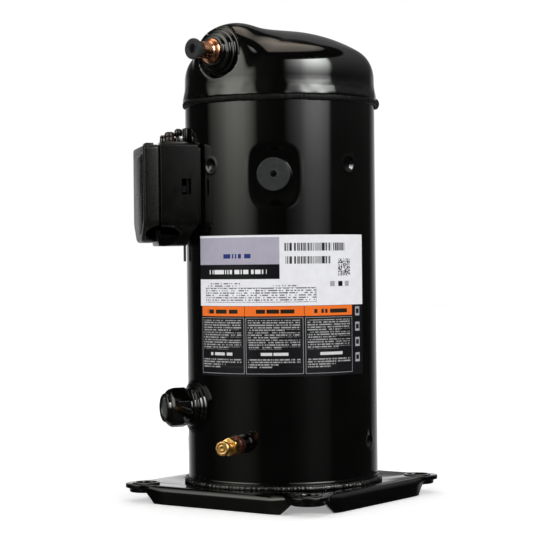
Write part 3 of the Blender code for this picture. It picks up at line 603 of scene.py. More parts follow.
def welds():
    seam_z = (SHELL_TOP + RIM_Z) / 2 - 0.4 * MM
    weld("rim_weld", SHELL_R + 1.1 * MM, seam_z, 1.4 * MM, 3.2 * MM, [(35.5, 1.9, 3.2)], 1.0, SEAM)
    weld("foot_weld", 94 * MM, PLATE_TOP + 1.5 * MM, 2.9 * MM, 2.7 * MM,
         [(-84, 0.5, 9), (-5, 0.8, 5), (20, 0.7, 4)], 7.0, WELD)


def bottom_cap():
    profile = millimetres([
        (0, 3.5), (61, 3.5), (78, 6.5), (84.5, 12.5), (86.5, 21.7), (92.6, 21.7), (92.6, 24.0), (92.8, 23.0),
        (92.9, 20.6), (93.3, 19.4), (94.6, 18.2), (96.0, 17.5), (89.6, 17.3), (88, 10), (80, 3), (62, 0),
        (0, 0)])
    obj = lathe("lower_cap", profile, PAINT, radius=2.0 * MM, steps=192, sharp=50)
    return keep(obj, ["bottom_cap"])


# ---------------- foot plate

PLATE_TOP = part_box("base_plate")[1][2]
PLATE_HALF = 112 * MM               # from the axis to the outside of a flange
PLATE_THICK = 3.5 * MM
HOLE_AT = 95.25 * MM                # the foot holes are on a 190.5 mm square
LOBE_R = 20 * MM
LOBE_START = 72 * MM                # the straight edge ends here and the lobe swells out
BEND_R = 5.0 * MM
SHELL_SEAT_R = 90 * MM


def plate_outline():
    """Square drawn in to the bends, with a round lobe swelling out at each corner."""
    inner = PLATE_HALF - BEND_R
    points = []
    for quarter in range(4):
        turn = quarter * math.pi / 2
        corner = [(inner, LOBE_START)]
        for angle in np.radians(np.linspace(-31, 121, 33)):
            corner.append((HOLE_AT + LOBE_R * math.cos(angle), HOLE_AT + LOBE_R * math.sin(angle)))
        corner.append((LOBE_START, inner))
        for x, y in corner:
            points.append((x * math.cos(turn) - y * math.sin(turn), x * math.sin(turn) + y * math.cos(turn)))
    return points


def flange(number):
    """A side bent down from the plate; its ends are cut on a slope and draw back towards the lobes."""
    arc = np.linspace(0, math.pi / 2, 9)
    bend = PLATE_TOP - BEND_R
    path = [(PLATE_HALF - BEND_R + BEND_R * math.sin(t), bend + BEND_R * math.cos(t)) for t in arc]
    path += [(PLATE_HALF, z) for z in np.linspace(bend, 0.0, 8)[1:]]
    columns = 61
    points = []
    for x, z in path:
        half = (87 - 13 * min(1.0, max(0.0, 11 * MM - z) / (11 * MM))) * MM
        sides = np.linspace(-half, half, columns)
        pull = 5 * MM * smooth_step(62 * MM, 90 * MM, np.abs(sides)) * min(1.0, (PLATE_TOP - z) / (9 * MM))
        points += [(x - back, y, z) for back, y in zip(pull, sides)]
    mesh = sheet_mesh("side", points, columns)
    mesh.transform(Matrix.Rotation(math.pi / 2 * number, 4, "Z"))
    obj = thicken(add_object("side", mesh, None), PLATE_THICK - 0.2 * MM)
    return bake(bevel(obj, 0.7 * MM, 2, 50))


def base_plate():
    corners = [(x, y) for x in (-HOLE_AT, HOLE_AT) for y in (-HOLE_AT, HOLE_AT)]
    loops = [plate_outline(), circle(SHELL_SEAT_R, 160)]
    loops += [circle(9.6 * MM, 48, x, y) for x, y in corners]
    plate = prism("sheet", loops, PLATE_TOP - PLATE_THICK, PLATE_TOP)
    bevel(plate, 0.8 * MM, 3, 50)
    bake(plate)
    parts = [plate] + [flange(number) for number in range(4)]
    under = PLATE_TOP - PLATE_THICK
    collar = [(12.0, 0.4), (17.6, 0.4), (16.4, -1.6), (16.0, -4.6), (10.2, -4.6), (9.8, 0.4)]
    rim = [(13.6, -0.2), (12.6, 0.9), (10.2, 0.9), (9.8, 0.0)]
    for x, y in corners:
        place = Matrix.Translation((x, y, 0))
        parts.append(lathe("collar", millimetres(collar, under), None, place, 0.9 * MM, 64))
        parts.append(lathe("hole_rim", millimetres(rim, PLATE_TOP), None, place, 0.5 * MM, 64))
    obj = join("foot_plate", parts, PAINT)
    return keep(obj, ["base_plate"])


# ---------------- stubs and plugs

def discharge_line():
    """Stepped fitting on the cap's flat, copper stub and rubber stopper."""
    place = outward(DISCHARGE, DISCHARGE_Z)
    fitting = millimetres([
        (12.8, 16.8), (14.0, 16.6), (14.6, 15.8), (14.6, 12.8), (17.4, 12.2), (18.6, 11.0), (18.6, 8.0),
        (20.4, 7.6), (21.4, 6.4), (21.4, 4.2), (22.8, 3.8), (23.8, 2.8), (23.8, 0.2), (11, 0.2),
        (11, -7.5), (9.6, -7.5), (9.6, 16.0), (10.8, 16.8)], FACET)
    keep(lathe("discharge_adaptor", fitting, PAINT, place, 0.6 * MM), ["discharge_fitting"])
    tube = millimetres([
        (7.9, 34), (7.9, 23.4), (8.6, 21.8), (10.4, 20.2), (11.8, 18.6), (11.7, 17.2), (9.3, 16.4), (9.3, -5),
        (7.2, -5), (7.2, 34)], FACET)
    keep(lathe("discharge_stub", tube, COPPER, place, 1.4 * MM), ["discharge_tube"])
    face = reach("discharge_plug", DISCHARGE)[1] - 3.0 * MM
    plug = millimetres([
        (0, 1.0), (3.6, 1.0), (4.1, 5.9), (4.7, 6.5), (8.8, 6.5), (9.8, 5.6), (9.8, 3.3), (9.3, 2.7),
        (6.9, 2.3), (6.6, -16), (0, -16.4)], face)
    keep(lathe("discharge_stopper", plug, RUBBER, place, 0.6 * MM), ["discharge_plug"],
         "discharge_stopper")


def suction_line():
    """Painted stub in the shell's flat, and its rubber stopper."""
    place = outward(SUCTION, SUCTION_Z)
    front = 103 * MM
    fitting = millimetres([
        (14.3, 0), (14.6, -0.4), (14.6, -8.8), (15.2, -11.2), (16.6, -13.4), (16.8, -15.2),
        (14.1, -15.6), (14.0, -21), (12.0, -21), (12.0, -0.4), (12.4, 0)], front)
    keep(lathe("suction_stub", fitting, PAINT, place, 1.0 * MM), ["suction_fitting"])
    face = reach("suction_plug", SUCTION)[1] - 4 * MM
    plug = millimetres([
        (0, -6.0), (2.0, -5.6), (2.4, 1.0), (3.2, 3.9), (4.0, 4.3), (5.0, 3.8), (6.2, 3.9), (14.4, 4.0),
        (15.4, 3.0), (15.5, 1.9), (15.1, 1.4), (11.7, 1.4), (11.2, -14.5), (0, -15)], face)
    keep(lathe("suction_stopper", plug, RUBBER, place, 0.5 * MM), ["suction_plug"],
         "suction_stopper")


def hexagon(name, flats, low, high, chamfer, place, skin, start=0.0):
    """Hexagon with both ends turned down to a round chamfer."""
    corner = flats / math.sqrt(3)
    body = prism(name, [circle(corner, 6, start=start)], low, high)
    rim = flats / 2 * 0.985
    nose = corner - chamfer * 0.72
    back = min(chamfer * 0.4, 2.4 * MM)
    cone = [(0, high), (nose, high), (nose + chamfer * 0.42, high - chamfer * 0.36),
            (corner + 0.1 * MM, high - chamfer), (corner + 0.1 * MM, low + back), (rim, low), (0, low)]
    blank = lathe("blank", cone, None, None, 1.5 * MM, 96)
    combine(body, blank, "INTERSECT")
    bevel(body, 0.35 * MM, 2, 25)
    bake(body, 30)
    body.data.transform(place)
    body.data.materials.append(skin)
    return body


def glass_collar(place):
    """Round boss that steps up from the shell: two steps that follow its curve, then a flat face."""
    steps = []
    for radius, rise in ((25.4, 1.8), (22.4, 3.8)):
        step = drill("step", radius * MM, 60 * MM, 110 * MM, place, 96)
        drum_r = SHELL_R + rise * MM
        drum = [(0, -60 * MM), (drum_r, -60 * MM), (drum_r, 60 * MM), (0, 60 * MM)]
        combine(step, lathe("drum", drum, None, Matrix.Translation((0, 0, GLASS_Z)), 0.0, 240), "INTERSECT")
        steps.append(bake(bevel(step, 0.6 * MM, 3, 40)))
    face = millimetres([
        (15.4, 98.9), (17.0, 98.6), (17.8, 97.8), (17.8, 96.4), (19.2, 96.0), (19.7, 95.0), (19.7, 80),
        (0, 80), (0, 98.9)])
    collar = lathe("glass_collar", face, None, place, 0.5 * MM)
    for step in steps:
        combine(collar, step, "UNION")
    combine(collar, drill("saddle", SHELL_R + 0.1 * MM, -10 * MM, 140 * MM, Matrix.Identity(4), 240))
    combine(collar, drill("bore", 12.2 * MM, 60 * MM, 110 * MM, place))
    bake(collar, 40)
    collar.data.materials.append(PAINT)
    keep(collar, ["sight_glass_collar"])


def sight_glass():
    """Collar, hexagonal nut and glass of the oil level fitting."""
    place = outward(GLASS, GLASS_Z + 1 * MM)
    glass_collar(place)
    start = math.radians(51)
    nut = hexagon("glass_nut", 33.8 * MM, 100.6 * MM, 120.2 * MM, 6.4 * MM, place, PAINT, start)
    sleeve = millimetres([
        (11.0, 123.4), (12.9, 123.4), (13.9, 122.6), (13.9, 119.4), (12, 118), (8.2, 113.6), (8.2, 115.6),
        (10.8, 116.2)])
    parts = [nut, lathe("nose", sleeve, None, place, 0.5 * MM)]
    neck = millimetres([(15.2, 101.2), (15.2, 98.8), (11.6, 98.2), (11.6, 84), (8.2, 84), (8.2, 101.2)])
    parts.append(lathe("neck", neck, None, place, 0.3 * MM))
    keep(join("glass_nut_finished", parts, PAINT, 30), ["sight_glass_nut"])
    lens = millimetres([
        (0, 122.4), (7, 122.3), (9.2, 122.0), (9.6, 122.5), (10.3, 122.5), (10.7, 121.8), (10.7, 116.4),
        (0, 116.4)])
    keep(lathe("glass_lens", lens, LENS, place, 0.3 * MM), ["sight_glass_lens"])


def process_valve():
    """Painted stub with a burnt copper collar, and a brass valve with its screw cap."""
    place = outward(VALVE, VALVE_Z)
    stub = millimetres([(7.8, 109.8), (8.0, 97.0), (8.8, 94.4), (9.2, 86), (5.1, 86), (5.1, 109.8)])
    keep(lathe("process_stub", stub, PAINT, place, 0.8 * MM), [])
    rim = millimetres([
        (6.8, 119.2), (8.3, 118.8), (9.0, 117.4), (9.0, 110.4), (8.2, 109.0), (5.1, 109.0), (5.1, 119.2)])
    keep(lathe("process_collar", rim, BURNT, place, 0.5 * MM), ["process_tube"])
    nut = hexagon("valve_hex", 15.0 * MM, 119.3 * MM, 129.6 * MM, 1.0 * MM, place, BRASS)
    bottom = millimetres([(6.2, 119.8), (6.2, 117.2), (2.4, 117.2), (2.4, 119.8)])
    neck = lathe("neck", bottom, None, place, 0.3 * MM, 64)
    thread = [(2.9, 135.4), (2.9, 134.8)]
    for turn in range(6):
        thread += [(3.0, 134.2 - turn * 0.9), (2.7, 133.75 - turn * 0.9)]
    thread += [(2.9, 129.2), (2.4, 129.2), (2.4, 135.4)]
    stem = lathe("valve_thread", millimetres(thread), None, place, 0.0, 48)
    keep(join("valve_barrel", [nut, neck, stem], BRASS, 30), ["valve_body"])
    cap = [(0, 143.9), (1.0, 143.9), (1.3, 144.1), (2.7, 144.2), (3.0, 144.0), (4.2, 144.0), (4.5, 144.2),
           (5.8, 144.2), (6.6, 143.4), (6.6, 140.0), (6.0, 139.2), (3.9, 138.9)]
    for turn in range(4):
        cap += [(3.9, 138.0 - turn * 2.1), (3.9, 137.0 - turn * 2.1), (3.6, 136.6 - turn * 2.1)]
    cap += [(4.0, 130.0), (3.2, 130.0), (3.2, 138), (0, 138)]
    keep(lathe("brass_cap", millimetres(cap), BRASS, place, 0.25 * MM, 72), ["valve_cap"],
         "service_cap")


# ---------------- terminal box

BOX_HALF = 40 * MM
BOX_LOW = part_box("terminal_box_base")[0][2]
BOX_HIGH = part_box("terminal_box_base")[1][2] + 1.2 * MM
BOX_SPLIT = reach("terminal_box_base", BOX_ANGLE)[1]
BOX_FRONT = reach("terminal_box_cover", BOX_ANGLE)[1]
CHAMFER = 20 * MM                   # the lower corners are cut off by this much
WALL = 2.5 * MM
COVER_INSET = 0.9 * MM
COVER_LIFT = 2.4 * MM               # the cover's lower edge is this much higher than the base's
CABLE_R = 12.2 * MM
CABLE_STRETCH = 1.33                # the cable hole is longer along the slope than across it


def box_shape(inset, round_off=3.0 * MM, lift=0.0):
    """Box outline seen along its depth: local X is down, local Y is sideways, corners rounded."""
    half = BOX_HALF - inset
    low = -(BOX_LOW + inset + lift)
    slope = -(BOX_LOW + CHAMFER + inset * 0.4)
    high = -(BOX_HIGH - inset)
    flat = half - CHAMFER
    loop = [(low, -flat), (slope, -half), (high, -half), (high, half), (slope, half), (low, flat)]
    out = []
    for i, corner in enumerate(loop):
        here = Vector(corner)
        before = (Vector(loop[i - 1]) - here).normalized() * round_off
        after = (Vector(loop[(i + 1) % 6]) - here).normalized() * round_off
        out += arc_through(here + before, here, here + after, 5)
    return out


def box_solid(name, inset, round_off, near, far, lift=0.0):
    """The box's outline filled from one depth to another, both measured from the shell's axis."""
    return prism(name, [box_shape(inset, round_off, lift)], near, far, outward(BOX_ANGLE))


def box_frame(depth, side, z):
    """Placement on the box: depth out from the shell, side towards the sloping edge with the cable hole."""
    spot = radial(BOX_ANGLE, depth, z) + radial(BOX_ANGLE + 90, side)
    return Matrix.Translation(spot) @ Matrix.Rotation(math.radians(BOX_ANGLE), 4, "Z")


def cable_prism(name, radii, depth, half):
    """Oval solid, or ring if two radii are given, square to the sloping face with the cable hole."""
    place = box_frame(depth, BOX_HALF - CHAMFER / 2, BOX_LOW + CHAMFER / 2)
    lean = Matrix.Rotation(math.radians(90), 4, "Z") @ Matrix.Rotation(math.radians(135), 4, "Y")
    loops = [[(x, CABLE_STRETCH * y) for x, y in circle(radius, 64)] for radius in radii]
    return prism(name, loops, -half, half, place @ lean)


def cable_cut():
    return cable_prism("cable_cut", [CABLE_R], 121 * MM, 7 * MM)


def cable_lip():
    """Low rim round the base's half of the cable hole."""
    lip = cable_prism("cable_lip", [CABLE_R + 1.3 * MM, CABLE_R - 0.1 * MM], 119.5 * MM, 1.2 * MM)
    bake(bevel(lip, 0.4 * MM, 2), 0)
    return combine(lip, slab("front", (40, 90, 90), box_frame(BOX_SPLIT + 19.9 * MM, 20 * MM, BOX_LOW)))


def box_skirt():
    """Narrower part behind the base that follows the shell."""
    skirt = box_solid("skirt", 3.2 * MM, 3 * MM, 80 * MM, 102 * MM)
    combine(skirt, drill("saddle", SHELL_R + 0.3 * MM, 220 * MM, 370 * MM, Matrix.Identity(4), 240))
    return combine(skirt, slab("below", (60, 100, 30), box_frame(90 * MM, 0, BOX_LOW + 6 * MM)))


def box_base():
    """Tray against the shell, with a tongue inside its open edge, half the cable hole, a catch and a hook."""
    base = box_solid("box_base", 0, 3 * MM, 80 * MM, BOX_SPLIT - 0.1 * MM)
    bake(bevel(base, 1.4 * MM, 4), 0)
    back = [(0, 236), (98.6, 236), (98.6, 258), (96.6, 267), (96.6, 378), (0, 378)]
    combine(base, lathe("back", millimetres(back), None, None, 0.0, 240))
    combine(base, box_skirt(), "UNION")
    combine(base, box_solid("room", WALL + 3 * MM, 3 * MM, 98 * MM, BOX_SPLIT + 5 * MM))
    tongue = [box_shape(WALL + inset * MM, lift=COVER_LIFT) for inset in (1.3, 2.6)]
    tongue = prism("tongue", tongue, BOX_SPLIT - 2 * MM, BOX_SPLIT + 3 * MM, outward(BOX_ANGLE))
    combine(base, tongue, "UNION")
    combine(base, cable_cut())
    catch_z = BOX_LOW + 56 * MM
    combine(base, slab("window", (9, 15, 15), box_frame(99.4 * MM, BOX_HALF, catch_z)))
    combine(base, drill("opening", 22 * MM, 85 * MM, 105 * MM, outward(BOX_ANGLE, TERMINAL_Z)))
    hook = soft_slab("hook", (1.6, 7, 20), box_frame(95.5 * MM, 0, BOX_LOW - 5 * MM), 0.5 * MM)
    catch = slab("catch", (3.6, 4, 6), box_frame(101.2 * MM, BOX_HALF - 4.4 * MM, catch_z - 2.4 * MM))
    base = join("box_base_finished", [base, cable_lip(), catch, hook], PLASTIC)
    return keep(base, ["terminal_box_base"])


def box_cover():
    """Cover with a raised front panel, a tab on top and a pressed plate on its face."""
    near = BOX_SPLIT + 0.3 * MM
    cover = box_solid("box_cover", COVER_INSET, 4.5 * MM, near, BOX_FRONT - 0.7 * MM, COVER_LIFT)
    bake(bevel(cover, 3.0 * MM, 5), 0)
    panel = box_solid("panel", 9 * MM, 5 * MM, BOX_FRONT - 3 * MM, BOX_FRONT, 2 * MM)
    combine(cover, bake(bevel(panel, 0.6 * MM, 2), 0), "UNION")
    room = box_solid("room", WALL + COVER_INSET, 3 * MM, BOX_SPLIT - 5 * MM, BOX_FRONT - 3.4 * MM, COVER_LIFT)
    combine(cover, room)
    combine(cover, cable_cut())
    tab = soft_slab("tab", (8, 18, 3.4), box_frame(130 * MM, 0, BOX_HIGH + 0.9 * MM), 0.6 * MM)
    cover = join("box_cover_finished", [cover, tab], GRAINED)
    keep(cover, ["terminal_box_cover"], "box_cover")
    plate_place = box_frame(BOX_FRONT + 0.4 * MM, 0, BOX_LOW + 67 * MM)
    plate = soft_slab("cover_plate", (1, 44, 34), plate_place, 0.3 * MM, skin=PRESSED)
    return keep(plate, [], "box_cover")


def box_fixings():
    """On top of the box: a clip with a strap, lug, knob and stud, its steel leaf and a round brown head."""
    top = BOX_HIGH + 0.3 * MM
    ball = millimetres([
        (0, 16.4), (1.9, 16.2), (3.6, 14.6), (3.9, 11.8), (3.4, 9.4), (2.6, 8.2), (3.4, 7.0), (3.5, 1.4),
        (0, 1.4)])
    stud = millimetres([(0, 8.4), (2.0, 8.2), (3.2, 6.8), (2.8, 5.0), (3.3, 3.6), (3.3, 0.4), (0, 0.4)])
    parts = [
        soft_slab("strap", (30, 22, 3.4), box_frame(104 * MM, 0, top + 1.7 * MM), 0.6 * MM, 3),
        soft_slab("lug", (4.6, 22, 16.4), box_frame(94.6 * MM, 0, top + 8.2 * MM), 1.1 * MM, 3),
        lathe("knob", ball, None, box_frame(100.9 * MM, 2 * MM, top), 1.0 * MM, 48),
        lathe("stud", stud, None, box_frame(115.8 * MM, 2 * MM, top + 1.6 * MM), 0.7 * MM, 40),
    ]
    keep(join("retaining_clip", parts, PAINT), ["box_retaining_clip"])
    leaf_place = box_frame(98.6 * MM, 1 * MM, top + 6.4 * MM)
    keep(soft_slab("clip_leaf", (5.4, 12, 4.4), leaf_place, 0.4 * MM, skin=STEEL), [])
    head = millimetres([
        (0, 13.4), (2.8, 13.3), (4.7, 12.0), (5.2, 9.6), (4.8, 7.4), (5.5, 6.4), (5.5, 3.5), (0, 3.4)])
    button = lathe("retaining_button", head, AMBER, box_frame(109.2 * MM, 1 * MM, top), 0.9 * MM, 64)
    return keep(button, ["retaining_screw"])


# ---------------- rating label

LABEL_LOW, LABEL_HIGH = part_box("rating_label")
LABEL_TALL = (LABEL_HIGH[2] - LABEL_LOW[2]) / MM
LABEL_HALF = 55.5                   # degrees round the shell from the label's middle to its ends
LABEL_WIDE = 2 * math.radians(LABEL_HALF) * SHELL_R / MM
LABEL_R = SHELL_R + 0.35 * MM

WHITE = (0.80, 0.80, 0.83)
GREY = (0.40, 0.38, 0.46)
BLACK = (0.008, 0.008, 0.010)
DARK = (0.016, 0.017, 0.019)
NAVY = (0.02, 0.03, 0.16)
ORANGE = (0.86, 0.17, 0.02)


def film(name, colour, cell=None, ink=None, fill=0.0, stripes=None):
    """Printed film. cell is the size in mm of its random marks; stripes rules them into lines this tall."""
    made, tree, shader = tree_of(name)
    place = node(tree, "ShaderNodeUVMap")
    cloud = node(tree, "ShaderNodeTexNoise", {"Scale": 0.12, "Detail": 4.0})
    wire(tree, place, "UV", cloud, "Vector")
    faded = tuple(channel * 0.93 for channel in colour)
    result = mix(tree, remap(tree, cloud, "Fac", 0.0, 1.0), faded, colour)
    if cell is not None:
        sized = node(tree, "ShaderNodeVectorMath", {1: (*cell, 1)}, operation="DIVIDE")
        whole = node(tree, "ShaderNodeVectorMath", operation="FLOOR")
        chance = node(tree, "ShaderNodeTexWhiteNoise", noise_dimensions="2D")
        wire(tree, place, "UV", sized, 0)
        wire(tree, sized, 0, whole, 0)
        wire(tree, whole, 0, chance, "Vector")
        mask = calculate(tree, "LESS_THAN", chance.outputs["Value"], fill)
        if stripes is not None:
            split = node(tree, "ShaderNodeSeparateXYZ")
            wire(tree, place, "UV", split, 0)
            wave = calculate(tree, "PINGPONG", split.outputs["Y"], stripes)
            line = calculate(tree, "GREATER_THAN", wave, stripes * 0.5)
            mask = calculate(tree, "MULTIPLY", line, mask)
        result = mix(tree, mask, result, ink)
    tree.links.new(result, shader.inputs["Base Color"])
    relief(tree, shader, noise_at(tree, 1200.0), 0.06, 0.05 * MM)
    adjust(shader, {"Roughness": 0.28, "Specular IOR Level": 0.12})
    return made


def label_films():
    """Plain films, and films with generic marks where the real label is printed."""
    return {
        "white": film("film_white", WHITE),
        "grey": film("film_grey", GREY),
        "black": film("film_black", BLACK),
        "orange": film("film_orange", ORANGE),
        "bars": film("film_bars", WHITE, (0.42, 400), DARK, 0.55),
        "code": film("film_code", WHITE, (0.75, 0.75), DARK, 0.55),
        "rows": film("film_rows", WHITE, (1.1, 2.2), (0.12, 0.12, 0.14), 0.62, 1.1),
        "fine": film("film_fine", DARK, (0.7, 2.3), (0.36, 0.36, 0.36), 0.74, 1.15),
        "pale": film("film_pale", (0.36, 0.36, 0.38)),
        "title": film("film_title", GREY, (1.6, 60), NAVY, 0.72),
        "name": film("film_name", BLACK, (1.3, 60), (0.75, 0.75, 0.75), 0.72),
        "heading": film("film_heading", ORANGE, (1.3, 60), (0.02, 0.015, 0.01), 0.76),
        "mark": film("film_mark", DARK, (1.2, 60), (0.62, 0.62, 0.62), 0.76),
    }


def label_patches():
    """Layout in mm: left, right, top, bottom and film. A later patch covers an earlier one."""
    end = LABEL_WIDE
    foot = LABEL_TALL
    patches = [
        (0, end, 0, 66, "white"),
        (0, 88, 2, 27.3, "grey"), (0, 88, 27.3, 41, "black"),
        (32, 62, 17.4, 21.6, "title"), (14, 76, 32.2, 36.2, "name"),
        (92.7, 154.2, 7.6, 15, "bars"), (93.6, 137.5, 20.1, 27, "bars"), (146, 161, 22.5, 38.5, "code"),
        (8.7, 122.5, 49.2, 62.4, "rows"), (12, 50, 44.2, 48.4, "rows"), (82, 104, 46.2, 48.4, "rows"),
        (8.7, 122.5, 49.0, 49.3, "black"), (8.7, 122.5, 62.4, 62.7, "black"),
    ]
    patches += [(left, left + 0.3, 49, 62.7, "black") for left in (8.7, 36, 66, 94, 122.3)]
    patches += [
        (137, 142, 43.6, 48.4, "pale"), (146, 151, 43.6, 48.4, "black"), (154, 159, 43.6, 48.4, "pale"),
        (0, end, 66, foot, "black"), (2.5, 163, 66.3, 75.6, "orange"),
        (54, 54.5, 66.3, 75.6, "black"), (110.4, 110.9, 66.3, 75.6, "black"),
    ]
    for left, right in ((2.5, 53.6), (55.2, 109.6), (111.6, 163)):
        patches += column_patches(left, right, foot)
    for top in (67, 81.5, 96, 110.5):
        patches += [(167.5, 174, top + 1, top + 9.5, "pale"), (168.6, 172.9, top + 3, top + 7.4, "black")]
    return patches


def column_patches(left, right, foot):
    """One of the three ruled columns in the label's lower half."""
    middle = (left + right) / 2
    patches = [
        (middle - 17, middle + 19, 69.4, 73.2, "heading"),
        (left, right, 77, foot - 2.4, "pale"), (left + 0.4, right - 0.4, 77.4, foot - 2.8, "black"),
    ]
    for first, lines in ((79.2, 5), (90.7, 3), (97.6, 4), (115.5, 3), (122.4, 1)):
        last = first + 2.3 * (lines - 1) - 0.1
        patches.append((left + 2, right - 3, first, first + 2.3 * lines - 0.2, "fine"))
        patches.append((left + 22 + 3 * lines, right - 2, last, last + 2.3, "black"))
    patches.append((middle - 13, middle + 13, 109.6, 112.4, "mark"))
    return patches


def rating_label():
    """Film round the front of the shell, cut along every patch's edges so that each face has one look."""
    looks = label_films()
    patches = label_patches()
    across = set(np.linspace(0, LABEL_WIDE, 72))
    down = set(np.linspace(0, LABEL_TALL, 12))
    for left, right, top, bottom, _ in patches:
        across |= {left, right}
        down |= {top, bottom}
    across = sorted(across)
    down = sorted(down)
    columns = len(across)
    first = math.radians(bearing("rating_label")[0] - LABEL_HALF)
    points = []
    for v in down:
        for u in across:
            turn = first + u * MM / SHELL_R
            points.append((LABEL_R * math.cos(turn), LABEL_R * math.sin(turn), LABEL_HIGH[2] - v * MM))
    mesh = sheet_mesh("printed_label", points, columns)
    layer = mesh.uv_layers.new(name="print")
    names = list(looks)
    for polygon in mesh.polygons:
        row, column = divmod(polygon.index, columns - 1)
        u = (across[column] + across[column + 1]) / 2
        v = (down[row] + down[row + 1]) / 2
        covering = [patch[4] for patch in patches if patch[0] <= u <= patch[1] and patch[2] <= v <= patch[3]]
        polygon.material_index = names.index(covering[-1])
        for loop in polygon.loop_indices:
            corner = mesh.loops[loop].vertex_index
            layer.data[loop].uv = (across[corner % columns], down[corner // columns])
    for look in looks.values():
        mesh.materials.append(look)
    obj = bake(thicken(add_object("printed_label", mesh, None), 0.12 * MM, 1.0))
    return keep(obj, ["rating_label"])


# ---------------- studio

CAMERA_ANGLE = -54.5                # direction from the shell's axis, in degrees
CAMERA_AWAY = 1750 * MM
CAMERA_Z = 229 * MM
CAMERA_LENS = 115.8
CAMERA_ROLL = -0.6
AIM_Z = 214.4 * MM
AIM_LEFT = 3.8 * MM                 # the camera looks this far to the left of the shell's axis
WHITE_ROOM = (0.92, 0.92, 0.92)     # light that the matt surfaces get from all round
DIM_GLOW = 0.02


def floor():
    mesh = bpy.data.meshes.new("floor")
    solid = bmesh.new()
    bmesh.ops.create_grid(solid, x_segments=1, y_segments=1, size=6.0)
    solid.to_mesh(mesh)
    solid.free()
    made, _, shader = tree_of("pale_floor")
    adjust(shader, {"Base Color": (0.93, 0.93, 0.93, 1), "Roughness": 0.9})
    adjust(shader, {"Emission Color": (1, 1, 1, 1), "Emission Strength": 0.3})
    obj = add_object("floor", mesh, made, 0)
    obj.location.z = -0.3 * MM
    obj.visible_glossy = False


def curve_of(tree, value, stops):
    """Straight lines between (value, height) stops."""
    low = stops[0][0]
    high = stops[-1][0]
    share = node(tree, "ShaderNodeMapRange", {1: low, 2: high, 3: 0.0, 4: 1.0})
    tree.links.new(value, share.inputs[0])
    drawn = node(tree, "ShaderNodeValToRGB")
    elements = drawn.color_ramp.elements
    while len(elements) < len(stops):
        elements.new(0.5)
    peak = max(height for _, height in stops)
    for element, (position, height) in zip(elements, stops):
        element.position = (position - low) / (high - low)
        element.color = (height / peak, height / peak, height / peak, 1)
    wire(tree, share, 0, drawn, 0)
    return calculate(tree, "MULTIPLY", drawn.outputs[0], peak)


def directions(tree):
    """Compass swing from the camera's side and height above the horizon, both in degrees."""
    where = node(tree, "ShaderNodeTexCoord")
    toward = node(tree, "ShaderNodeVectorMath", {1: radial(CAMERA_ANGLE, 1.0)}, operation="DOT_PRODUCT")
    across = node(tree, "ShaderNodeVectorMath", {1: radial(CAMERA_ANGLE + 90, 1.0)}, operation="DOT_PRODUCT")
    wire(tree, where, "Generated", toward, 0)
    wire(tree, where, "Generated", across, 0)
    swing = calculate(tree, "ARCTAN2", across.outputs["Value"], toward.outputs["Value"])
    split = node(tree, "ShaderNodeSeparateXYZ")
    wire(tree, where, "Generated", split, 0)
    lift = calculate(tree, "ARCSINE", split.outputs["Z"])
    return calculate(tree, "DEGREES", swing), calculate(tree, "DEGREES", lift)


def light(tree, colour, *shares):
    """Coloured light scaled by the product of its shares."""
    strength = calculate(tree, "MULTIPLY", *shares) if len(shares) > 1 else shares[0]
    step = node(tree, "ShaderNodeVectorMath", {0: colour}, operation="SCALE")
    tree.links.new(strength, step.inputs["Scale"])
    return step.outputs[0]


def side_boxes(tree, swing, lift):
    """A tall soft box at each side; both fade towards the floor."""
    right = curve_of(tree, swing, [
        (-180, 0), (5, 0.0), (8, 0.06), (16, 0.20), (24, 0.38), (32, 0.85), (40, 1.0), (48, 0.96), (58, 0.62),
        (63, 0.03), (180, 0)])
    right_fall = curve_of(tree, lift, [
        (-12, 0.07), (-5, 0.10), (-3.5, 0.14), (-1, 0.36), (1.1, 0.72), (2.8, 1.15), (3.8, 1.75), (4.8, 2.8),
        (10, 4.6), (20, 9.0), (30, 14.5), (42, 19.0), (44, 0.2), (48, 0)])
    left = curve_of(tree, swing, [
        (-180, 0), (-96, 0.0), (-88, 0.18), (-80, 0.33), (-72, 0.55), (-64, 0.85), (-54, 1.0), (-44, 0.93),
        (-35, 0.55), (-26, 0.02), (0, 0)])
    left_fall = curve_of(tree, lift, [
        (-12, 0.10), (-5, 0.16), (-3.5, 0.19), (-1, 0.45), (1.1, 0.94), (2.8, 1.55), (4.8, 2.75), (10, 4.0),
        (22, 4.4), (45, 3.2), (55, 3.2), (60, 0)])
    warm = light(tree, (0.99, 1.0, 0.91), left, left_fall)
    cool = light(tree, (0.97, 1.0, 0.97), right, right_fall)
    return [warm, cool]


def ceiling_and_backdrop(tree, swing, lift):
    edge = calculate(tree, "COSINE", calculate(tree, "RADIANS", swing))
    tilt = calculate(tree, "SUBTRACT", lift, calculate(tree, "MULTIPLY", edge, 14.0))
    ceiling = curve_of(tree, tilt, [(0, 0.0), (59.5, 0.0), (61, 0.8), (66, 1.6), (90, 1.8)])
    away = calculate(tree, "ABSOLUTE", swing)
    behind = curve_of(tree, away, [(0, 0.0), (136, 0.0), (146, 0.2), (158, 0.5), (171, 0.9), (180, 0.8)])
    behind_fall = curve_of(tree, lift, [(-12, 0.8), (0, 1.0), (6, 0.9), (12, 0.25), (40, 0.3), (60, 0.5)])
    return [light(tree, (1.0, 0.88, 0.76), ceiling), light(tree, (1.0, 1.0, 1.0), behind, behind_fall)]


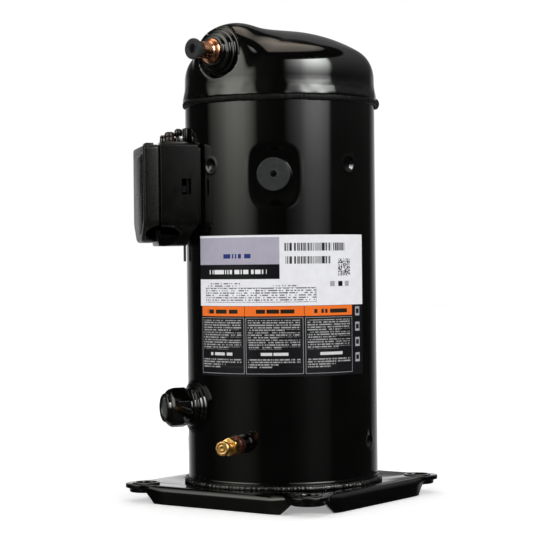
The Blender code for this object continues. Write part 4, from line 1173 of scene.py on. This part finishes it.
def reflected_studio(tree):
    """What the gloss paint mirrors: the soft boxes, ceiling panel and backdrop over a dim glow."""
    swing, lift = directions(tree)
    spread = calculate(tree, "SUBTRACT", 1.0, calculate(tree, "MULTIPLY", lift, 0.0043))
    swing = calculate(tree, "MULTIPLY", swing, spread)
    total = None
    for one in side_boxes(tree, swing, lift) + ceiling_and_backdrop(tree, swing, lift):
        step = node(tree, "ShaderNodeVectorMath", {0: (DIM_GLOW, DIM_GLOW, DIM_GLOW)}, operation="ADD")
        if total is not None:
            tree.links.new(total, step.inputs[0])
        tree.links.new(one, step.inputs[1])
        total = step.outputs[0]
    return total


def studio():
    """White studio, softly lit all round; gloss surfaces mirror the soft boxes instead."""
    world = bpy.data.worlds.new("studio")
    bpy.context.scene.world = world
    world.use_nodes = True
    world.cycles.sampling_method = "NONE"
    tree = world.node_tree
    path = node(tree, "ShaderNodeLightPath")
    glossy = mix(tree, path.outputs["Is Glossy Ray"], WHITE_ROOM, reflected_studio(tree))
    seen = mix(tree, path.outputs["Is Camera Ray"], glossy, (1.0, 1.0, 1.0))
    tree.links.new(seen, tree.nodes["Background"].inputs["Color"])


def camera():
    data = bpy.data.cameras.new("camera")
    data.sensor_width = 36.0
    data.lens = CAMERA_LENS
    data.clip_start = 0.05
    data.clip_end = 50
    obj = bpy.data.objects.new("camera", data)
    bpy.context.scene.collection.objects.link(obj)
    obj.location = radial(CAMERA_ANGLE, CAMERA_AWAY, CAMERA_Z)
    aim = radial(CAMERA_ANGLE - 90, AIM_LEFT, AIM_Z)
    look = (aim - obj.location).to_track_quat("-Z", "Y")
    roll = Matrix.Rotation(math.radians(CAMERA_ROLL), 4, "Z")
    obj.rotation_euler = (look.to_matrix().to_4x4() @ roll).to_euler()
    bpy.context.scene.camera = obj


dress_cad()
shell()
top_cap()
bottom_cap()
welds()
base_plate()
discharge_line()
suction_line()
sight_glass()
process_valve()
box_base()
box_cover()
box_fixings()
rating_label()
floor()
studio()
camera()
bpy.context.scene.view_settings.view_transform = "Standard"
